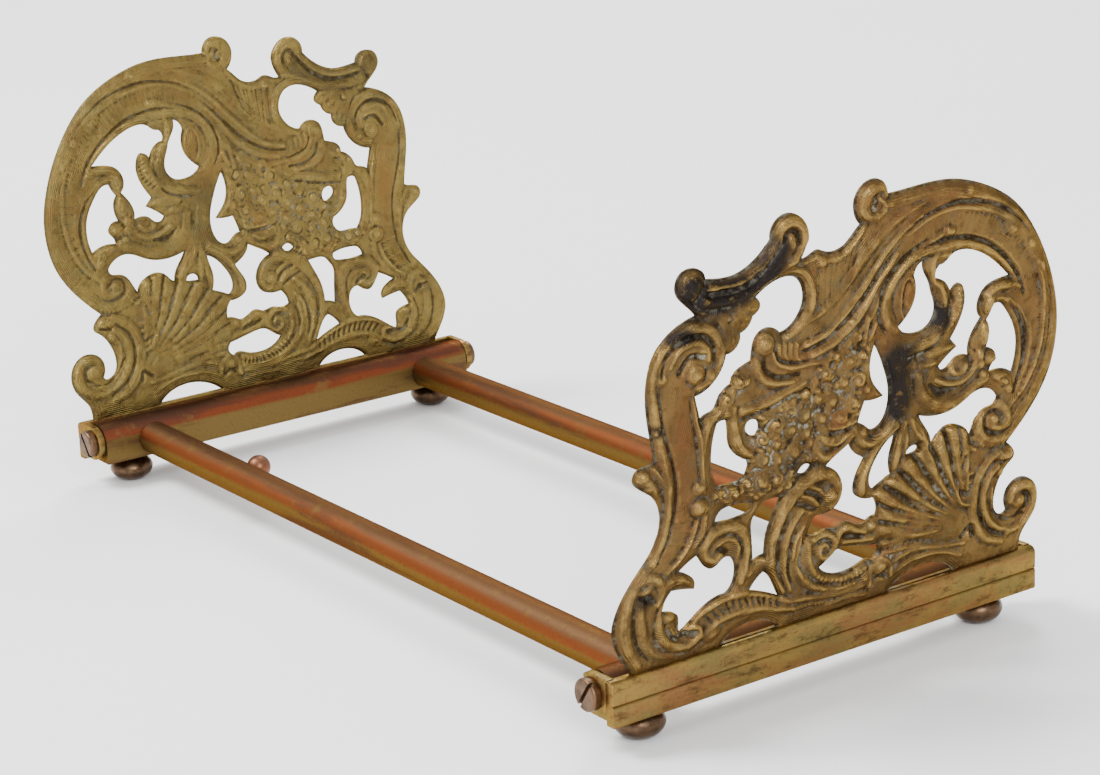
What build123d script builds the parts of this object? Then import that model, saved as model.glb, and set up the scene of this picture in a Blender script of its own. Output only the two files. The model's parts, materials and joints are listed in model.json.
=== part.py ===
from build123d import *
import os
from math import asin, cos, sin, pi

# Sliding book rack: two pierced brass end plates that fold down on pivot screws,
# two cross rails on ball feet, and two telescoping side tubes between the rails.
# Frame: +X runs along the side tubes, +Y across the rack, +Z up, floor at Z = 0,
# origin on the floor under the middle of the closed rack. Millimetres.

# ---------------------------------------------------------------- driving dimensions
PIVOT_X = 141.4          # pivot axis of each end, from the middle of the closed rack
PIVOT_Z = 15.6           # pivot axis above the floor
CLOSED_GAP = 0.4         # tube mouth to left rail when closed
SLIDE_TRAVEL = 180.0     # how far the right end pulls out

RAIL_RADIUS = 6.0        # half width of a rail, and the radius of its rounded top
RAIL_BOTTOM = 8.8        # underside of the rails
RAIL_END = 72.8          # rail end faces at +Y and -Y
RAIL_WALL = 1.5          # channel wall
BLOCK_LENGTH = 25.0      # solid block in each rail end

TUBE_Y = 55.0            # side tubes at +Y and -Y
TUBE_Z = 14.7
TUBE_OD = 11.0
TUBE_ID = 9.6
ROD_D = 8.0
BUSH_LENGTH = 60.0       # guide bush inside the tube mouth
COLLAR_LENGTH = 10.0     # stop collar on the free end of each rod
COLLAR_D = 9.4
COLLAR_SCREW_ROOM = 2.0   # end of the collar length that the screw head takes
COLLAR_SCREW_D = 3.0
COLLAR_HEAD_D = 6.8
COLLAR_HEAD_T = 1.6
COLLAR_SLOT = 1.0
STOP_GAP = 0.5            # collar to bush, pulled right out
RUN_CLEARANCE = 0.05     # radial, for what slides or turns
FIT_CLEARANCE = 0.02     # radial, for what is screwed or pressed in
SPIGOT_D = 5.0           # reduced ends that enter the end blocks
SPIGOT_LENGTH = 9.0
PLUG_LENGTH = 14.0

BAR_END = 75.5           # end faces of the base bar, ears included
EAR_THICKNESS = 2.2
EAR_RADIUS = 5.8
BAR_BOTTOM = 8.4         # a little below the rail
BAR_INNER = 6.2          # base bar inner face, outward from the pivot axis
BAR_OUTER = 9.6          # base bar front face
BAR_TOP = 21.2
BAR_ROUND = 1.6          # quarter round along the top front edge
GROOVE_Z = 14.4          # scribed line along the bar
GROOVE_DEPTH = 0.45
PLATE_INNER = 6.4        # pierced plate inner face at its foot
PLATE_THICKNESS = 2.0
PLATE_LEAN = 5.7         # degrees outward
EAR_FLAT = 3.4           # right ears are filed flat this far inward of the pivot axis

CAST_SCALE = 1.035       # drawn scrollwork to casting size
CAST_SHEAR = -0.042      # scrollwork leans back along the bar
CAST_SHEAR_V = 77.3      # height that the shear leaves in place
CAST_DROP = 1.9          # drawn heights to casting heights

SCREW_SHANK_D = 5.0      # plain part under the head, the ear turns on it
SCREW_THREAD_D = 4.0
SCREW_HEAD_D = 9.2
SCREW_HEAD_T = 2.4
SCREW_HEAD_ROUND = 0.8
SCREW_HEAD_GAP = 0.1      # head to ear, so that the ear turns freely
SCREW_SLOT = 1.2
SCREW_SLOT_DEPTH = 1.2
SCREW_SLOT_ANGLE = 35     # degrees
HOLE_SPARE = 0.3          # blind holes are this much deeper than what they hold
SCREW_LENGTH = 8.0       # threaded part inside the block
WASHER_T = 0.5
WASHER_D = 9.6

FOOT_X = 142.3
FOOT_Y = 61.0
FOOT_D = 14.4
FOOT_WAIST_Z = 4.2       # height of the widest part
FOOT_HALF_HEIGHT = 4.6   # of the oval that the foot is turned to
FOOT_NECK_D = 7.6
FOOT_NECK_H = 0.8
STUD_D = 3.5
STUD_BOTTOM = 3.4
STUD_TOP = 13.0

LOCK_X = -83.0           # lock screw on the inner side of the near tube
LOCK_BALL_D = 7.8
LOCK_THREAD_D = 3.0
LOCK_NECK_D = 3.6
LOCK_TIP_GAP = 0.2       # tip to rod, loosened
LOCK_SHOULDER_GAP = 0.3  # shoulder to tube, loosened
LOCK_NECK_LENGTH = 0.6

# ---------------------------------------------------------------- casting outline
# Each list is one smooth stretch; stretches meet at corners. (along the rack's
# width, height), the casting seen from outside the right end, before CAST_SCALE,
# CAST_SHEAR and CAST_DROP take it to its place.
OUTLINE = [
    [(-67, 21), (-70.8, 27), (-73.5, 34), (-71.2, 42), (-65, 50), (-60, 56.2), (-58.3, 62),
     (-59.2, 67), (-62.3, 70.6)],                                        # foot of the column
    [(-62.3, 70.6), (-64.8, 72.4), (-66.7, 75), (-65.6, 77.4), (-63, 78.1), (-60.3, 79)],
    [(-60.3, 79), (-61.8, 88), (-62.6, 95.5), (-62, 101.5), (-59.8, 107), (-56.2, 110.8),
     (-51.5, 113.3), (-47.4, 114.5)],                                    # column and volute
    [(-47.4, 114.5), (-51.2, 118.4), (-53.5, 122), (-52.3, 125.8), (-48.8, 127),
     (-45.6, 125.8), (-44.6, 123.4)],                                    # small knob
    [(-44.6, 123.4), (-40, 122.7), (-35.5, 122.7), (-30.5, 124.4), (-26.5, 127.2),
     (-24, 129.7)],                                                      # S-scroll
    [(-24, 129.7), (-23.5, 132.7), (-20.7, 135.2), (-17.3, 135.4), (-13.7, 133),
     (-12.1, 129.7), (-12.7, 126.2), (-14.4, 122.8)],                    # large knob
    [(-14.4, 122.8), (-11.3, 123.3), (-8.8, 124.2), (-6.3, 123.3), (-3.3, 122.8),
     (0, 123.7), (2.8, 126), (5.2, 128.2)],                              # shoulder
    [(5.2, 128.2), (3.4, 131), (3, 134.4), (4.6, 137.6), (8.1, 139.5), (11.3, 139.1),
     (13.4, 136.7), (13.8, 134.8)],                                      # top curl
    [(13.8, 134.8), (21, 135), (29.5, 135.3), (37.5, 134.6), (45.5, 132.3), (53, 128.8),
     (60, 123.6), (66, 116.3), (70.8, 108), (74.3, 99), (76.2, 89.5), (76, 82), (74, 74),
     (69.5, 66.3), (64.5, 60.7), (59.5, 56.1)],                          # big C-scroll
    [(59.5, 56.1), (61.5, 54.2), (62.6, 51.9), (61.3, 50.1)],
    [(61.3, 50.1), (59.6, 48.8), (57.6, 46.2), (56.3, 43.4), (55.6, 40.2), (56, 37),
     (57.8, 35), (59.8, 34.6), (60.9, 35.6)],                            # notch by the curl
    [(60.9, 35.6), (60.1, 38), (60.5, 40.7), (62.2, 42.9), (65, 44), (68.5, 43.3),
     (71.3, 40.5), (72.2, 36.8), (71.2, 32.8), (68.5, 29.3), (66.7, 26.8), (66, 24), (66, 21)],
    [(66, 21), (-67, 21)],                                               # inside the base bar
]
OPENINGS = {
    "shoulder_window": [
        [(-28.8, 115.8), (-25.5, 117.8), (-22, 119), (-18.5, 119.2), (-15.3, 117.8),
         (-13.4, 114.6), (-13.3, 111), (-15, 107.7), (-17.8, 105.3), (-20.8, 104.5)],
        [(-20.8, 104.5), (-23, 106.4), (-25.8, 106.6), (-28.3, 105), (-29.4, 102), (-29.8, 99)],
        [(-29.8, 99), (-32, 98.3), (-34.7, 97), (-36, 94.2)],
        [(-36, 94.2), (-38.6, 92.8), (-40.4, 90.6), (-41.5, 88.6), (-44, 87.8), (-46, 86.5)],
        [(-46, 86.5), (-46.9, 90), (-47.8, 93.5)],
        [(-47.8, 93.5), (-43, 95.2), (-39.8, 98.3), (-38, 102.5)],
        [(-38, 102.5), (-36.2, 102.8), (-34.2, 104.4), (-33.6, 107.2)],
        [(-33.6, 107.2), (-31, 108.6), (-29.7, 110.9)],
        [(-29.7, 110.9), (-27.3, 113.2), (-28.8, 115.8)],
    ],
    "column_window": [
        [(-37.6, 84.8), (-37.1, 81.5), (-36.7, 78), (-34.5, 74.7), (-31, 72.5)],
        [(-31, 72.5), (-30.7, 69.6), (-32.5, 67.6), (-36, 67.2), (-40, 67)],
        [(-40, 67), (-41.8, 70), (-42.6, 75), (-42.2, 80), (-40.9, 84.6)],
        [(-40.9, 84.6), (-39.2, 85.2), (-37.6, 84.8)],
    ],
    "hook_eye": [
        [(-31.8, 81.6), (-30.4, 83.2), (-28.2, 82.8), (-27.1, 81), (-27.9, 78.6),
         (-30, 79), (-31.8, 81.6)],
    ],
    "garland_slit": [
        [(-41.3, 57.7), (-39.5, 60.6), (-36, 61.2), (-32.5, 61), (-29.5, 60.2)],
        [(-29.5, 60.2), (-29.8, 58.3), (-32.8, 57.4), (-37, 57.2), (-41.3, 57.7)],
    ],
    "lower_left_window": [
        [(-47, 50.2), (-45, 47), (-42.7, 45.2), (-40.5, 45.8), (-38.3, 47.2), (-36.2, 46.8),
         (-34.6, 44.2), (-34.6, 41), (-35.7, 38.3), (-37.6, 36.7)],
        [(-37.6, 36.7), (-41.5, 36.2), (-46, 34), (-50, 31.2), (-52.6, 29.8)],
        [(-52.6, 29.8), (-53, 32.4), (-53.2, 34.9), (-55.4, 36.4), (-58.5, 37)],
        [(-58.5, 37), (-57.3, 39.8), (-55.2, 42.3)],
        [(-55.2, 42.3), (-52, 41.9), (-48, 41)],
        [(-48, 41), (-47.8, 43), (-49.5, 45.2), (-53, 47)],
        [(-53, 47), (-50, 48.8), (-47, 50.2)],
    ],
    "stem_slit": [
        [(-27.9, 57.4), (-25.7, 59.5), (-22, 59.8), (-19.6, 59.6)],
        [(-19.6, 59.6), (-21.2, 56.5), (-23.4, 52), (-24.5, 48), (-24.8, 44.6)],
        [(-24.8, 44.6), (-27, 44.2), (-28.9, 43.4)],
        [(-28.9, 43.4), (-29.1, 47), (-29.4, 51), (-29.6, 54), (-27.9, 57.4)],
    ],
    "triangle": [
        [(-25.5, 39.8), (-23.4, 38), (-21.5, 34.6), (-20, 31.4)],
        [(-20, 31.4), (-24.8, 33.7), (-30, 35.6)],
        [(-30, 35.6), (-28, 38), (-25.5, 39.8)],
    ],
    "foot_slot_near": [
        [(-20.5, 22.8), (-39, 22.8)],
        [(-39, 22.8), (-35.5, 25.4), (-30, 26.6), (-24.5, 25.6), (-20.5, 22.8)],
    ],
    "foot_slot_far": [
        [(41, 22.8), (18, 22.8)],
        [(18, 22.8), (23, 25.8), (30, 27.2), (37, 25.8), (41, 22.8)],
    ],
    "basin_window": [
        [(-6.5, 36), (-3.2, 38), (-0.5, 39.6), (4, 39.5), (9, 38.4), (13, 37.6)],
        [(13, 37.6), (14, 35.2), (12, 33)],
        [(12, 33), (9.5, 33.9), (6.5, 32.9), (3, 32.3), (-1, 32.6), (-4, 33.8), (-6.5, 36)],
    ],
    "centre_window": [
        [(-5, 64.4), (-2.5, 66.2), (0.5, 67.8), (3.2, 69.3)],
        [(3.2, 69.3), (4.2, 66.8), (6.3, 64.8), (8.7, 63.4)],
        [(8.7, 63.4), (7, 60.5), (5.2, 57), (5.4, 54), (8, 52.1), (11.7, 51.6)],
        [(11.7, 51.6), (13.2, 49), (13.3, 46)],
        [(13.3, 46), (10.5, 45.6), (8, 44.6), (5, 45.7), (2, 46.8), (-0.8, 45.8), (-4, 46.4),
         (-7.5, 45.8), (-10.8, 46.5)],
        [(-10.8, 46.5), (-10, 49), (-8, 51.4)],
        [(-8, 51.4), (-4.5, 51.2), (-1.2, 52.3), (0.8, 55.5), (0.4, 59.5), (-2, 62.8), (-5, 64.4)],
    ],
    "diamond": [
        [(-14.4, 65), (-12, 66.8), (-9.8, 65.8)],
        [(-9.8, 65.8), (-11.6, 64.2), (-14.4, 65)],
    ],
    "trunk_slit": [
        [(10.8, 95.2), (9.6, 91.5), (9.4, 88), (10.3, 84.8), (12.3, 82), (14.2, 79.9)],
        [(14.2, 79.9), (11.2, 79.5), (7.8, 79.8)],
        [(7.8, 79.8), (6.6, 77), (5.6, 73.8)],
        [(5.6, 73.8), (8.2, 72.8), (10.7, 71), (13.3, 71.6), (15.6, 74.5), (16.5, 78.5),
         (16.2, 82.5), (14.8, 87), (13, 91.3), (10.8, 95.2)],
    ],
    "strap_loop": [
        [(11.8, 53.8), (10.1, 56), (10.4, 59), (12.6, 63), (15.8, 66.5), (19, 68.2)],
        [(19, 68.2), (18.2, 65), (17.3, 61.5), (17.4, 58.5), (18, 56.5)],
        [(18, 56.5), (15, 55.3), (11.8, 53.8)],
    ],
    "strap_eye": [
        [(22.8, 60.8), (24.3, 63), (26.7, 62.8), (27.4, 61.3)],
        [(27.4, 61.3), (25, 60.9), (22.8, 60.8)],
    ],
    "scroll_window_inner": [
        [(27, 114.8), (24.5, 113.2), (23.6, 111)],
        [(23.6, 111), (24.4, 108), (23.9, 104), (21.8, 100.7), (18.7, 98)],
        [(18.7, 98), (20.3, 96.3), (24.5, 95), (28.7, 95.7), (31.2, 98.5), (31.4, 102),
         (30.2, 105.3), (29.3, 108), (27.6, 111), (27, 114.8)],
    ],
    "scroll_window_top": [
        [(31.3, 108.6), (31.2, 110.8), (32.5, 112.3)],
        [(32.5, 112.3), (34.5, 112.8), (36.5, 114.3), (40.5, 115), (45.5, 113.6), (51, 110.5),
         (55, 107.2), (57.9, 104.4)],
        [(57.9, 104.4), (53.5, 104), (50, 102.9), (47.6, 100.3), (46.9, 97.8), (48.3, 94.3)],
        [(48.3, 94.3), (46, 91.5), (44.3, 88), (44.4, 84.5)],
        [(44.4, 84.5), (42.3, 85.2), (39.5, 84.9), (37.2, 83), (35.4, 82.4), (33.3, 84)],
        [(33.3, 84), (36.5, 86.4), (39.6, 88.2)],
        [(39.6, 88.2), (37.2, 90.8)],
        [(37.2, 90.8), (39.7, 94.5), (41.5, 98.7), (41.6, 103), (39.8, 105.8), (37.8, 105),
         (36.9, 102.8)],
        [(36.9, 102.8), (35.6, 106), (33.8, 107.8), (31.3, 108.6)],
    ],
    "scroll_window_far": [
        [(52.2, 97.4), (54.3, 97.5), (57.5, 94.7), (60.2, 90.5), (61.7, 86), (61.7, 81),
         (60.5, 76.3)],
        [(60.5, 76.3), (58, 77.7), (55, 78.3), (51.8, 78)],
        [(51.8, 78), (52.2, 79.9), (53.9, 82.2), (52.8, 84.5), (50, 85.2)],
        [(50, 85.2), (51, 88), (51, 91.5), (49.9, 93.5)],
        [(49.9, 93.5), (51.3, 95.5), (52.2, 97.4)],
    ],
    "shell_top_window": [
        [(27, 71.3), (30.5, 70.3), (35.5, 69.9), (40.5, 70.8), (44.5, 72.7), (49, 74),
         (52.7, 73), (55.5, 70.2)],
        [(55.5, 70.2), (54.3, 68.3), (51, 67.7), (48.3, 65.5), (46.8, 62.8), (45.5, 60.6)],
        [(45.5, 60.6), (43.7, 64), (41.2, 65.4), (38, 66), (35, 64.8), (33, 62.7), (31.6, 62)],
        [(31.6, 62), (31, 64.8), (29, 68), (27, 71.3)],
    ],
}

# ---------------------------------------------------------------- helpers
os.makedirs("parts", exist_ok=True)


def save(name, *solids):
    """Write one node: a single solid, or a group of separate solids."""
    shape = solids[0] if len(solids) == 1 else Compound(children=list(solids))
    export_step(shape, f"parts/{name}.step")


def rod(start, direction, radius, length):
    """A round bar from a start point along a direction."""
    return Solid.make_cylinder(radius, length, Plane(origin=start, z_dir=direction))


def block(low, high):
    """A box between two opposite corners."""
    size = [b - a for a, b in zip(low, high)]
    middle = [(a + b) / 2 for a, b in zip(low, high)]
    return Pos(*middle) * Box(*size)


def cast_point(x, u, v):
    """A drawn point at its place in the casting, in the plane at x."""
    return (x, CAST_SCALE * u + CAST_SHEAR * (v - CAST_SHEAR_V), CAST_SCALE * v - CAST_DROP)


def closed_wire(stretches, x):
    """Closed outline in the plane at x, from smooth stretches that meet at corners."""
    edges = []
    for stretch in stretches:
        points = [cast_point(x, u, v) for u, v in stretch]
        edges.append(Line(*points) if len(points) == 2 else Spline(*points))
    return Wire(edges)


def half_turned(shape):
    """The same piece at the other end of the rack."""
    return shape.rotate(Axis.Z, 180)


# ---------------------------------------------------------------- end plates
def end_plate(filed_ears):
    """One casting: pierced plate, moulded base bar and the two pivot ears."""
    plate_x = PIVOT_X + PLATE_INNER
    face = Face(closed_wire(OUTLINE, plate_x), [closed_wire(s, plate_x) for s in OPENINGS.values()])
    plate = extrude(face, amount=PLATE_THICKNESS, dir=(1, 0, 0))
    foot_line = Axis((plate_x, 0, BAR_TOP), (0, 1, 0))
    plate = plate.rotate(foot_line, PLATE_LEAN)

    inner, outer = PIVOT_X + BAR_INNER, PIVOT_X + BAR_OUTER
    groove = GROOVE_DEPTH
    lower = Polyline((inner, 0, BAR_TOP), (inner, 0, BAR_BOTTOM), (outer, 0, BAR_BOTTOM),
                     (outer, 0, GROOVE_Z - groove), (outer - groove, 0, GROOVE_Z),
                     (outer, 0, GROOVE_Z + groove), (outer, 0, BAR_TOP - BAR_ROUND))
    round_x, round_z = outer - BAR_ROUND, BAR_TOP - BAR_ROUND
    round_edge = ThreePointArc((outer, 0, round_z),
                               (round_x + BAR_ROUND * cos(pi / 4), 0, round_z + BAR_ROUND * sin(pi / 4)),
                               (round_x, 0, BAR_TOP))
    top = Line((round_x, 0, BAR_TOP), (inner, 0, BAR_TOP))
    section = Face(Wire([*lower.edges(), round_edge, top]))
    bar = extrude(section, amount=BAR_END, dir=(0, 1, 0), both=True)

    casting = bar + plate
    for side in (-1, 1):
        inner_y = BAR_END - EAR_THICKNESS
        ear = rod((PIVOT_X, side * inner_y, PIVOT_Z), (0, side, 0), EAR_RADIUS, EAR_THICKNESS)
        ends = sorted((side * inner_y, side * BAR_END))
        arm = block((PIVOT_X, ends[0], PIVOT_Z - EAR_RADIUS), (inner + 1, ends[1], PIVOT_Z + EAR_RADIUS))
        if filed_ears:
            ear &= block((PIVOT_X - EAR_FLAT, ends[0], 0), (outer, ends[1], BAR_TOP + 10))
        hole_start = (PIVOT_X, side * (inner_y - 1), PIVOT_Z)
        hole = rod(hole_start, (0, side, 0), SCREW_SHANK_D / 2 + RUN_CLEARANCE, EAR_THICKNESS + 2)
        casting = (casting + ear + arm) - hole
    return casting.solids()[0]


save("right_end_plate", end_plate(filed_ears=True))
save("left_end_plate", half_turned(end_plate(filed_ears=False)))


# ---------------------------------------------------------------- cross rails
def arch(half_width, bottom, top_radius, half_length):
    """Bar with vertical sides and a round top about the pivot axis, at the right end."""
    x = PIVOT_X
    profile = Wire([
        Line((x - half_width, 0, bottom), (x + half_width, 0, bottom)),
        Line((x + half_width, 0, bottom), (x + half_width, 0, PIVOT_Z)),
        ThreePointArc((x + half_width, 0, PIVOT_Z), (x, 0, PIVOT_Z + top_radius),
                      (x - half_width, 0, PIVOT_Z)),
        Line((x - half_width, 0, PIVOT_Z), (x - half_width, 0, bottom)),
    ])
    return extrude(Face(profile), amount=half_length, dir=(0, 1, 0), both=True)


inner_half = RAIL_RADIUS - RAIL_WALL
block_start = RAIL_END - BLOCK_LENGTH


def rail_channel():
    """Inverted-U channel with holes for the side tube spigots in its inner side."""
    channel = arch(RAIL_RADIUS, RAIL_BOTTOM, RAIL_RADIUS, RAIL_END)
    channel -= arch(inner_half, RAIL_BOTTOM - 1, inner_half, RAIL_END + 1)
    for side in (-1, 1):
        start = (PIVOT_X - RAIL_RADIUS - 1, side * TUBE_Y, TUBE_Z)
        channel -= rod(start, (1, 0, 0), SPIGOT_D / 2 + FIT_CLEARANCE, RAIL_RADIUS)
    return channel.solids()[0]


def end_block(side):
    """Solid filling of a rail end, drilled for pivot screw, foot stud and spigot."""
    body = arch(inner_half, RAIL_BOTTOM, inner_half, RAIL_END)
    ends = sorted((side * block_start, side * RAIL_END))
    body &= block((PIVOT_X - 10, ends[0], 0), (PIVOT_X + 10, ends[1], 40))
    screw_start = (PIVOT_X, side * RAIL_END, PIVOT_Z)
    body -= rod(screw_start, (0, -side, 0), SCREW_THREAD_D / 2 + FIT_CLEARANCE, SCREW_LENGTH + HOLE_SPARE)
    stud_start = (FOOT_X, side * FOOT_Y, 0)
    body -= rod(stud_start, (0, 0, 1), STUD_D / 2 + FIT_CLEARANCE, STUD_TOP + HOLE_SPARE)
    spigot_start = (PIVOT_X - 8, side * TUBE_Y, TUBE_Z)
    body -= rod(spigot_start, (1, 0, 0), SPIGOT_D / 2 + FIT_CLEARANCE, 16)
    return body.solids()[0]


def bottom_strip():
    """Flat strip that closes the channel from below between the end blocks."""
    return block((PIVOT_X - inner_half, -block_start, RAIL_BOTTOM),
                 (PIVOT_X + inner_half, block_start, RAIL_BOTTOM + RAIL_WALL))


# ---------------------------------------------------------------- feet, screws, washers
def ball_foot(side):
    """Oval turned foot with a flat underside and a short neck against the rail."""
    shoulder = RAIL_BOTTOM - FOOT_NECK_H
    low = asin(-FOOT_WAIST_Z / FOOT_HALF_HEIGHT)
    high = asin((shoulder - FOOT_WAIST_Z) / FOOT_HALF_HEIGHT)
    angles = [low + (high - low) * step / 6 for step in range(7)]
    oval = [(FOOT_D / 2 * cos(a), 0, FOOT_WAIST_Z + FOOT_HALF_HEIGHT * sin(a)) for a in angles]
    neck_r = FOOT_NECK_D / 2
    rest = Polyline(oval[-1], (neck_r, 0, shoulder), (neck_r, 0, RAIL_BOTTOM), (0, 0, RAIL_BOTTOM),
                    (0, 0, 0), oval[0])
    profile = Wire([Spline(*oval), *rest.edges()])
    ball = revolve(Face(profile), Axis.Z, 360)
    ball -= rod((0, 0, STUD_BOTTOM - HOLE_SPARE), (0, 0, 1), STUD_D / 2 + FIT_CLEARANCE, STUD_TOP)
    return (Pos(FOOT_X, side * FOOT_Y, 0) * ball).solids()[0]


def foot_stud(side):
    return rod((FOOT_X, side * FOOT_Y, STUD_BOTTOM), (0, 0, 1), STUD_D / 2, STUD_TOP - STUD_BOTTOM)


def pivot_screw(side):
    """Slotted cheese-head screw; its plain shank carries the ear."""
    head_start = BAR_END + SCREW_HEAD_GAP
    shank = rod((PIVOT_X, side * RAIL_END, PIVOT_Z), (0, side, 0), SCREW_SHANK_D / 2,
                head_start - RAIL_END)
    thread = rod((PIVOT_X, side * RAIL_END, PIVOT_Z), (0, -side, 0), SCREW_THREAD_D / 2, SCREW_LENGTH)
    head = rod((PIVOT_X, side * head_start, PIVOT_Z), (0, side, 0), SCREW_HEAD_D / 2, SCREW_HEAD_T)
    outer = head.edges().filter_by(GeomType.CIRCLE).sort_by(Axis.Y)[-1 if side > 0 else 0]
    head = fillet(outer, SCREW_HEAD_ROUND)
    slot = Box(SCREW_SLOT, 2 * SCREW_SLOT_DEPTH, SCREW_HEAD_D + 2)
    slot = Pos(PIVOT_X, side * (head_start + SCREW_HEAD_T), PIVOT_Z) * Rot(0, SCREW_SLOT_ANGLE, 0) * slot
    return (shank + thread + head - slot).solids()[0]


def pivot_washer(side):
    ring = rod((PIVOT_X, side * RAIL_END, PIVOT_Z), (0, side, 0), WASHER_D / 2, WASHER_T)
    hole = rod((PIVOT_X, side * (RAIL_END - 1), PIVOT_Z), (0, side, 0),
               SCREW_SHANK_D / 2 + RUN_CLEARANCE, 3)
    return (ring - hole).solids()[0]


# Everything that both ends share, the left set being the right set turned half round.
END_PIECES = {
    "rail_channel": [rail_channel()],
    "rail_bottom_strip": [bottom_strip()],
    "end_block_minus_y": [end_block(-1)],
    "end_block_plus_y": [end_block(1)],
    "ball_foot_minus_y": [ball_foot(-1)],
    "ball_foot_plus_y": [ball_foot(1)],
    "foot_studs": [foot_stud(-1), foot_stud(1)],
    "pivot_screw_minus_y": [pivot_screw(-1)],
    "pivot_screw_plus_y": [pivot_screw(1)],
    "pivot_washers": [pivot_washer(-1), pivot_washer(1)],
}
SIDE_NAME = {"right": {"minus_y": "near", "plus_y": "far"}, "left": {"minus_y": "far", "plus_y": "near"}}
for end in ("right", "left"):
    for name, solids in END_PIECES.items():
        for plain, placed in SIDE_NAME[end].items():
            name = name.replace(plain, placed)
        turned = solids if end == "right" else [half_turned(s) for s in solids]
        save(f"{end}_{name}", *turned)

# ---------------------------------------------------------------- side tubes and rods
rail_face = PIVOT_X - RAIL_RADIUS
mouth = -rail_face + CLOSED_GAP
bush_end = mouth + BUSH_LENGTH
collar_start = bush_end + SLIDE_TRAVEL + STOP_GAP
rod_end = collar_start + COLLAR_LENGTH
plug_start = rail_face - PLUG_LENGTH
along = (1, 0, 0)


def side_tube(y, locked):
    tube = rod((mouth, y, TUBE_Z), along, TUBE_OD / 2, rail_face - mouth)
    tube -= rod((mouth - 1, y, TUBE_Z), along, TUBE_ID / 2, rail_face - mouth + 2)
    return tube - lock_hole() if locked else tube


def mouth_bush(y, locked):
    """Long guide bush, flush with the tube mouth; the near one is tapped for the lock."""
    bush = rod((mouth, y, TUBE_Z), along, TUBE_ID / 2 - FIT_CLEARANCE, BUSH_LENGTH)
    bush -= rod((mouth - 1, y, TUBE_Z), along, ROD_D / 2 + RUN_CLEARANCE, BUSH_LENGTH + 2)
    return bush - lock_hole() if locked else bush


def lock_hole():
    start = (LOCK_X, -TUBE_Y + ROD_D / 2, TUBE_Z)
    return rod(start, (0, 1, 0), LOCK_THREAD_D / 2 + RUN_CLEARANCE, 4)


def inner_rod(y):
    """Plain rod with a spigot in the left end block and a tapped free end."""
    shaft = rod((-rail_face, y, TUBE_Z), along, ROD_D / 2, rod_end - COLLAR_LENGTH + rail_face)
    spigot = rod((-rail_face - SPIGOT_LENGTH, y, TUBE_Z), along, SPIGOT_D / 2, SPIGOT_LENGTH)
    nose = rod((collar_start, y, TUBE_Z), along, SPIGOT_D / 2, COLLAR_LENGTH - COLLAR_SCREW_ROOM)
    bore = rod((collar_start, y, TUBE_Z), along, COLLAR_SCREW_D / 2, COLLAR_LENGTH)
    return (shaft + spigot + nose - bore).solids()[0]


def stop_collar(y):
    collar = rod((collar_start, y, TUBE_Z), along, COLLAR_D / 2, COLLAR_LENGTH - COLLAR_SCREW_ROOM)
    return collar - rod((collar_start - 1, y, TUBE_Z), along, SPIGOT_D / 2 + FIT_CLEARANCE,
                        COLLAR_LENGTH + 2)


def collar_screw(y):
    """Small slotted screw that keeps the stop collar on the rod end."""
    head_x = rod_end - COLLAR_SCREW_ROOM
    head = rod((head_x, y, TUBE_Z), along, COLLAR_HEAD_D / 2, COLLAR_HEAD_T)
    head -= Pos(head_x + COLLAR_HEAD_T, y, TUBE_Z) * Box(COLLAR_HEAD_T, COLLAR_SLOT, COLLAR_HEAD_D + 1)
    thread = rod((collar_start + 1, y, TUBE_Z), along, COLLAR_SCREW_D / 2 - FIT_CLEARANCE,
                 head_x - collar_start - 1)
    return (head + thread).solids()[0]


def tube_plug(y):
    """Plug that carries the closed tube end, its spigot in the right end block."""
    body = rod((plug_start, y, TUBE_Z), along, TUBE_ID / 2 - FIT_CLEARANCE, PLUG_LENGTH)
    spigot = rod((rail_face, y, TUBE_Z), along, SPIGOT_D / 2, SPIGOT_LENGTH)
    return (body + spigot).solids()[0]


for side_name, y in (("near", -TUBE_Y), ("far", TUBE_Y)):
    locked = side_name == "near"
    save(f"{side_name}_side_tube", side_tube(y, locked))
    save(f"{side_name}_mouth_bush", mouth_bush(y, locked))
    save(f"{side_name}_tube_plug", tube_plug(y))
    save(f"{side_name}_inner_rod", inner_rod(y))
    save(f"{side_name}_stop_collar", stop_collar(y))
save("collar_screws", collar_screw(-TUBE_Y), collar_screw(TUBE_Y))


# ---------------------------------------------------------------- lock screw
def lock_screw():
    """Ball-headed thumb screw through the tube wall and the bush, onto the rod."""
    tip = -TUBE_Y + ROD_D / 2 + LOCK_TIP_GAP
    shoulder = -TUBE_Y + TUBE_OD / 2 + LOCK_SHOULDER_GAP
    ball_y = shoulder + LOCK_NECK_LENGTH + LOCK_BALL_D / 2
    thread = rod((LOCK_X, tip, TUBE_Z), (0, 1, 0), LOCK_THREAD_D / 2, ball_y - tip)
    neck = rod((LOCK_X, shoulder, TUBE_Z), (0, 1, 0), LOCK_NECK_D / 2, ball_y - shoulder)
    ball = Pos(LOCK_X, ball_y, TUBE_Z) * Sphere(LOCK_BALL_D / 2)
    return (thread + neck + ball).solids()[0]


save("lock_screw", lock_screw())
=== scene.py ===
import json
import math
import bmesh
import bpy
import numpy as np
from mathutils import Euler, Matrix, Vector
from mathutils.geometry import delaunay_2d_cdt

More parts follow.
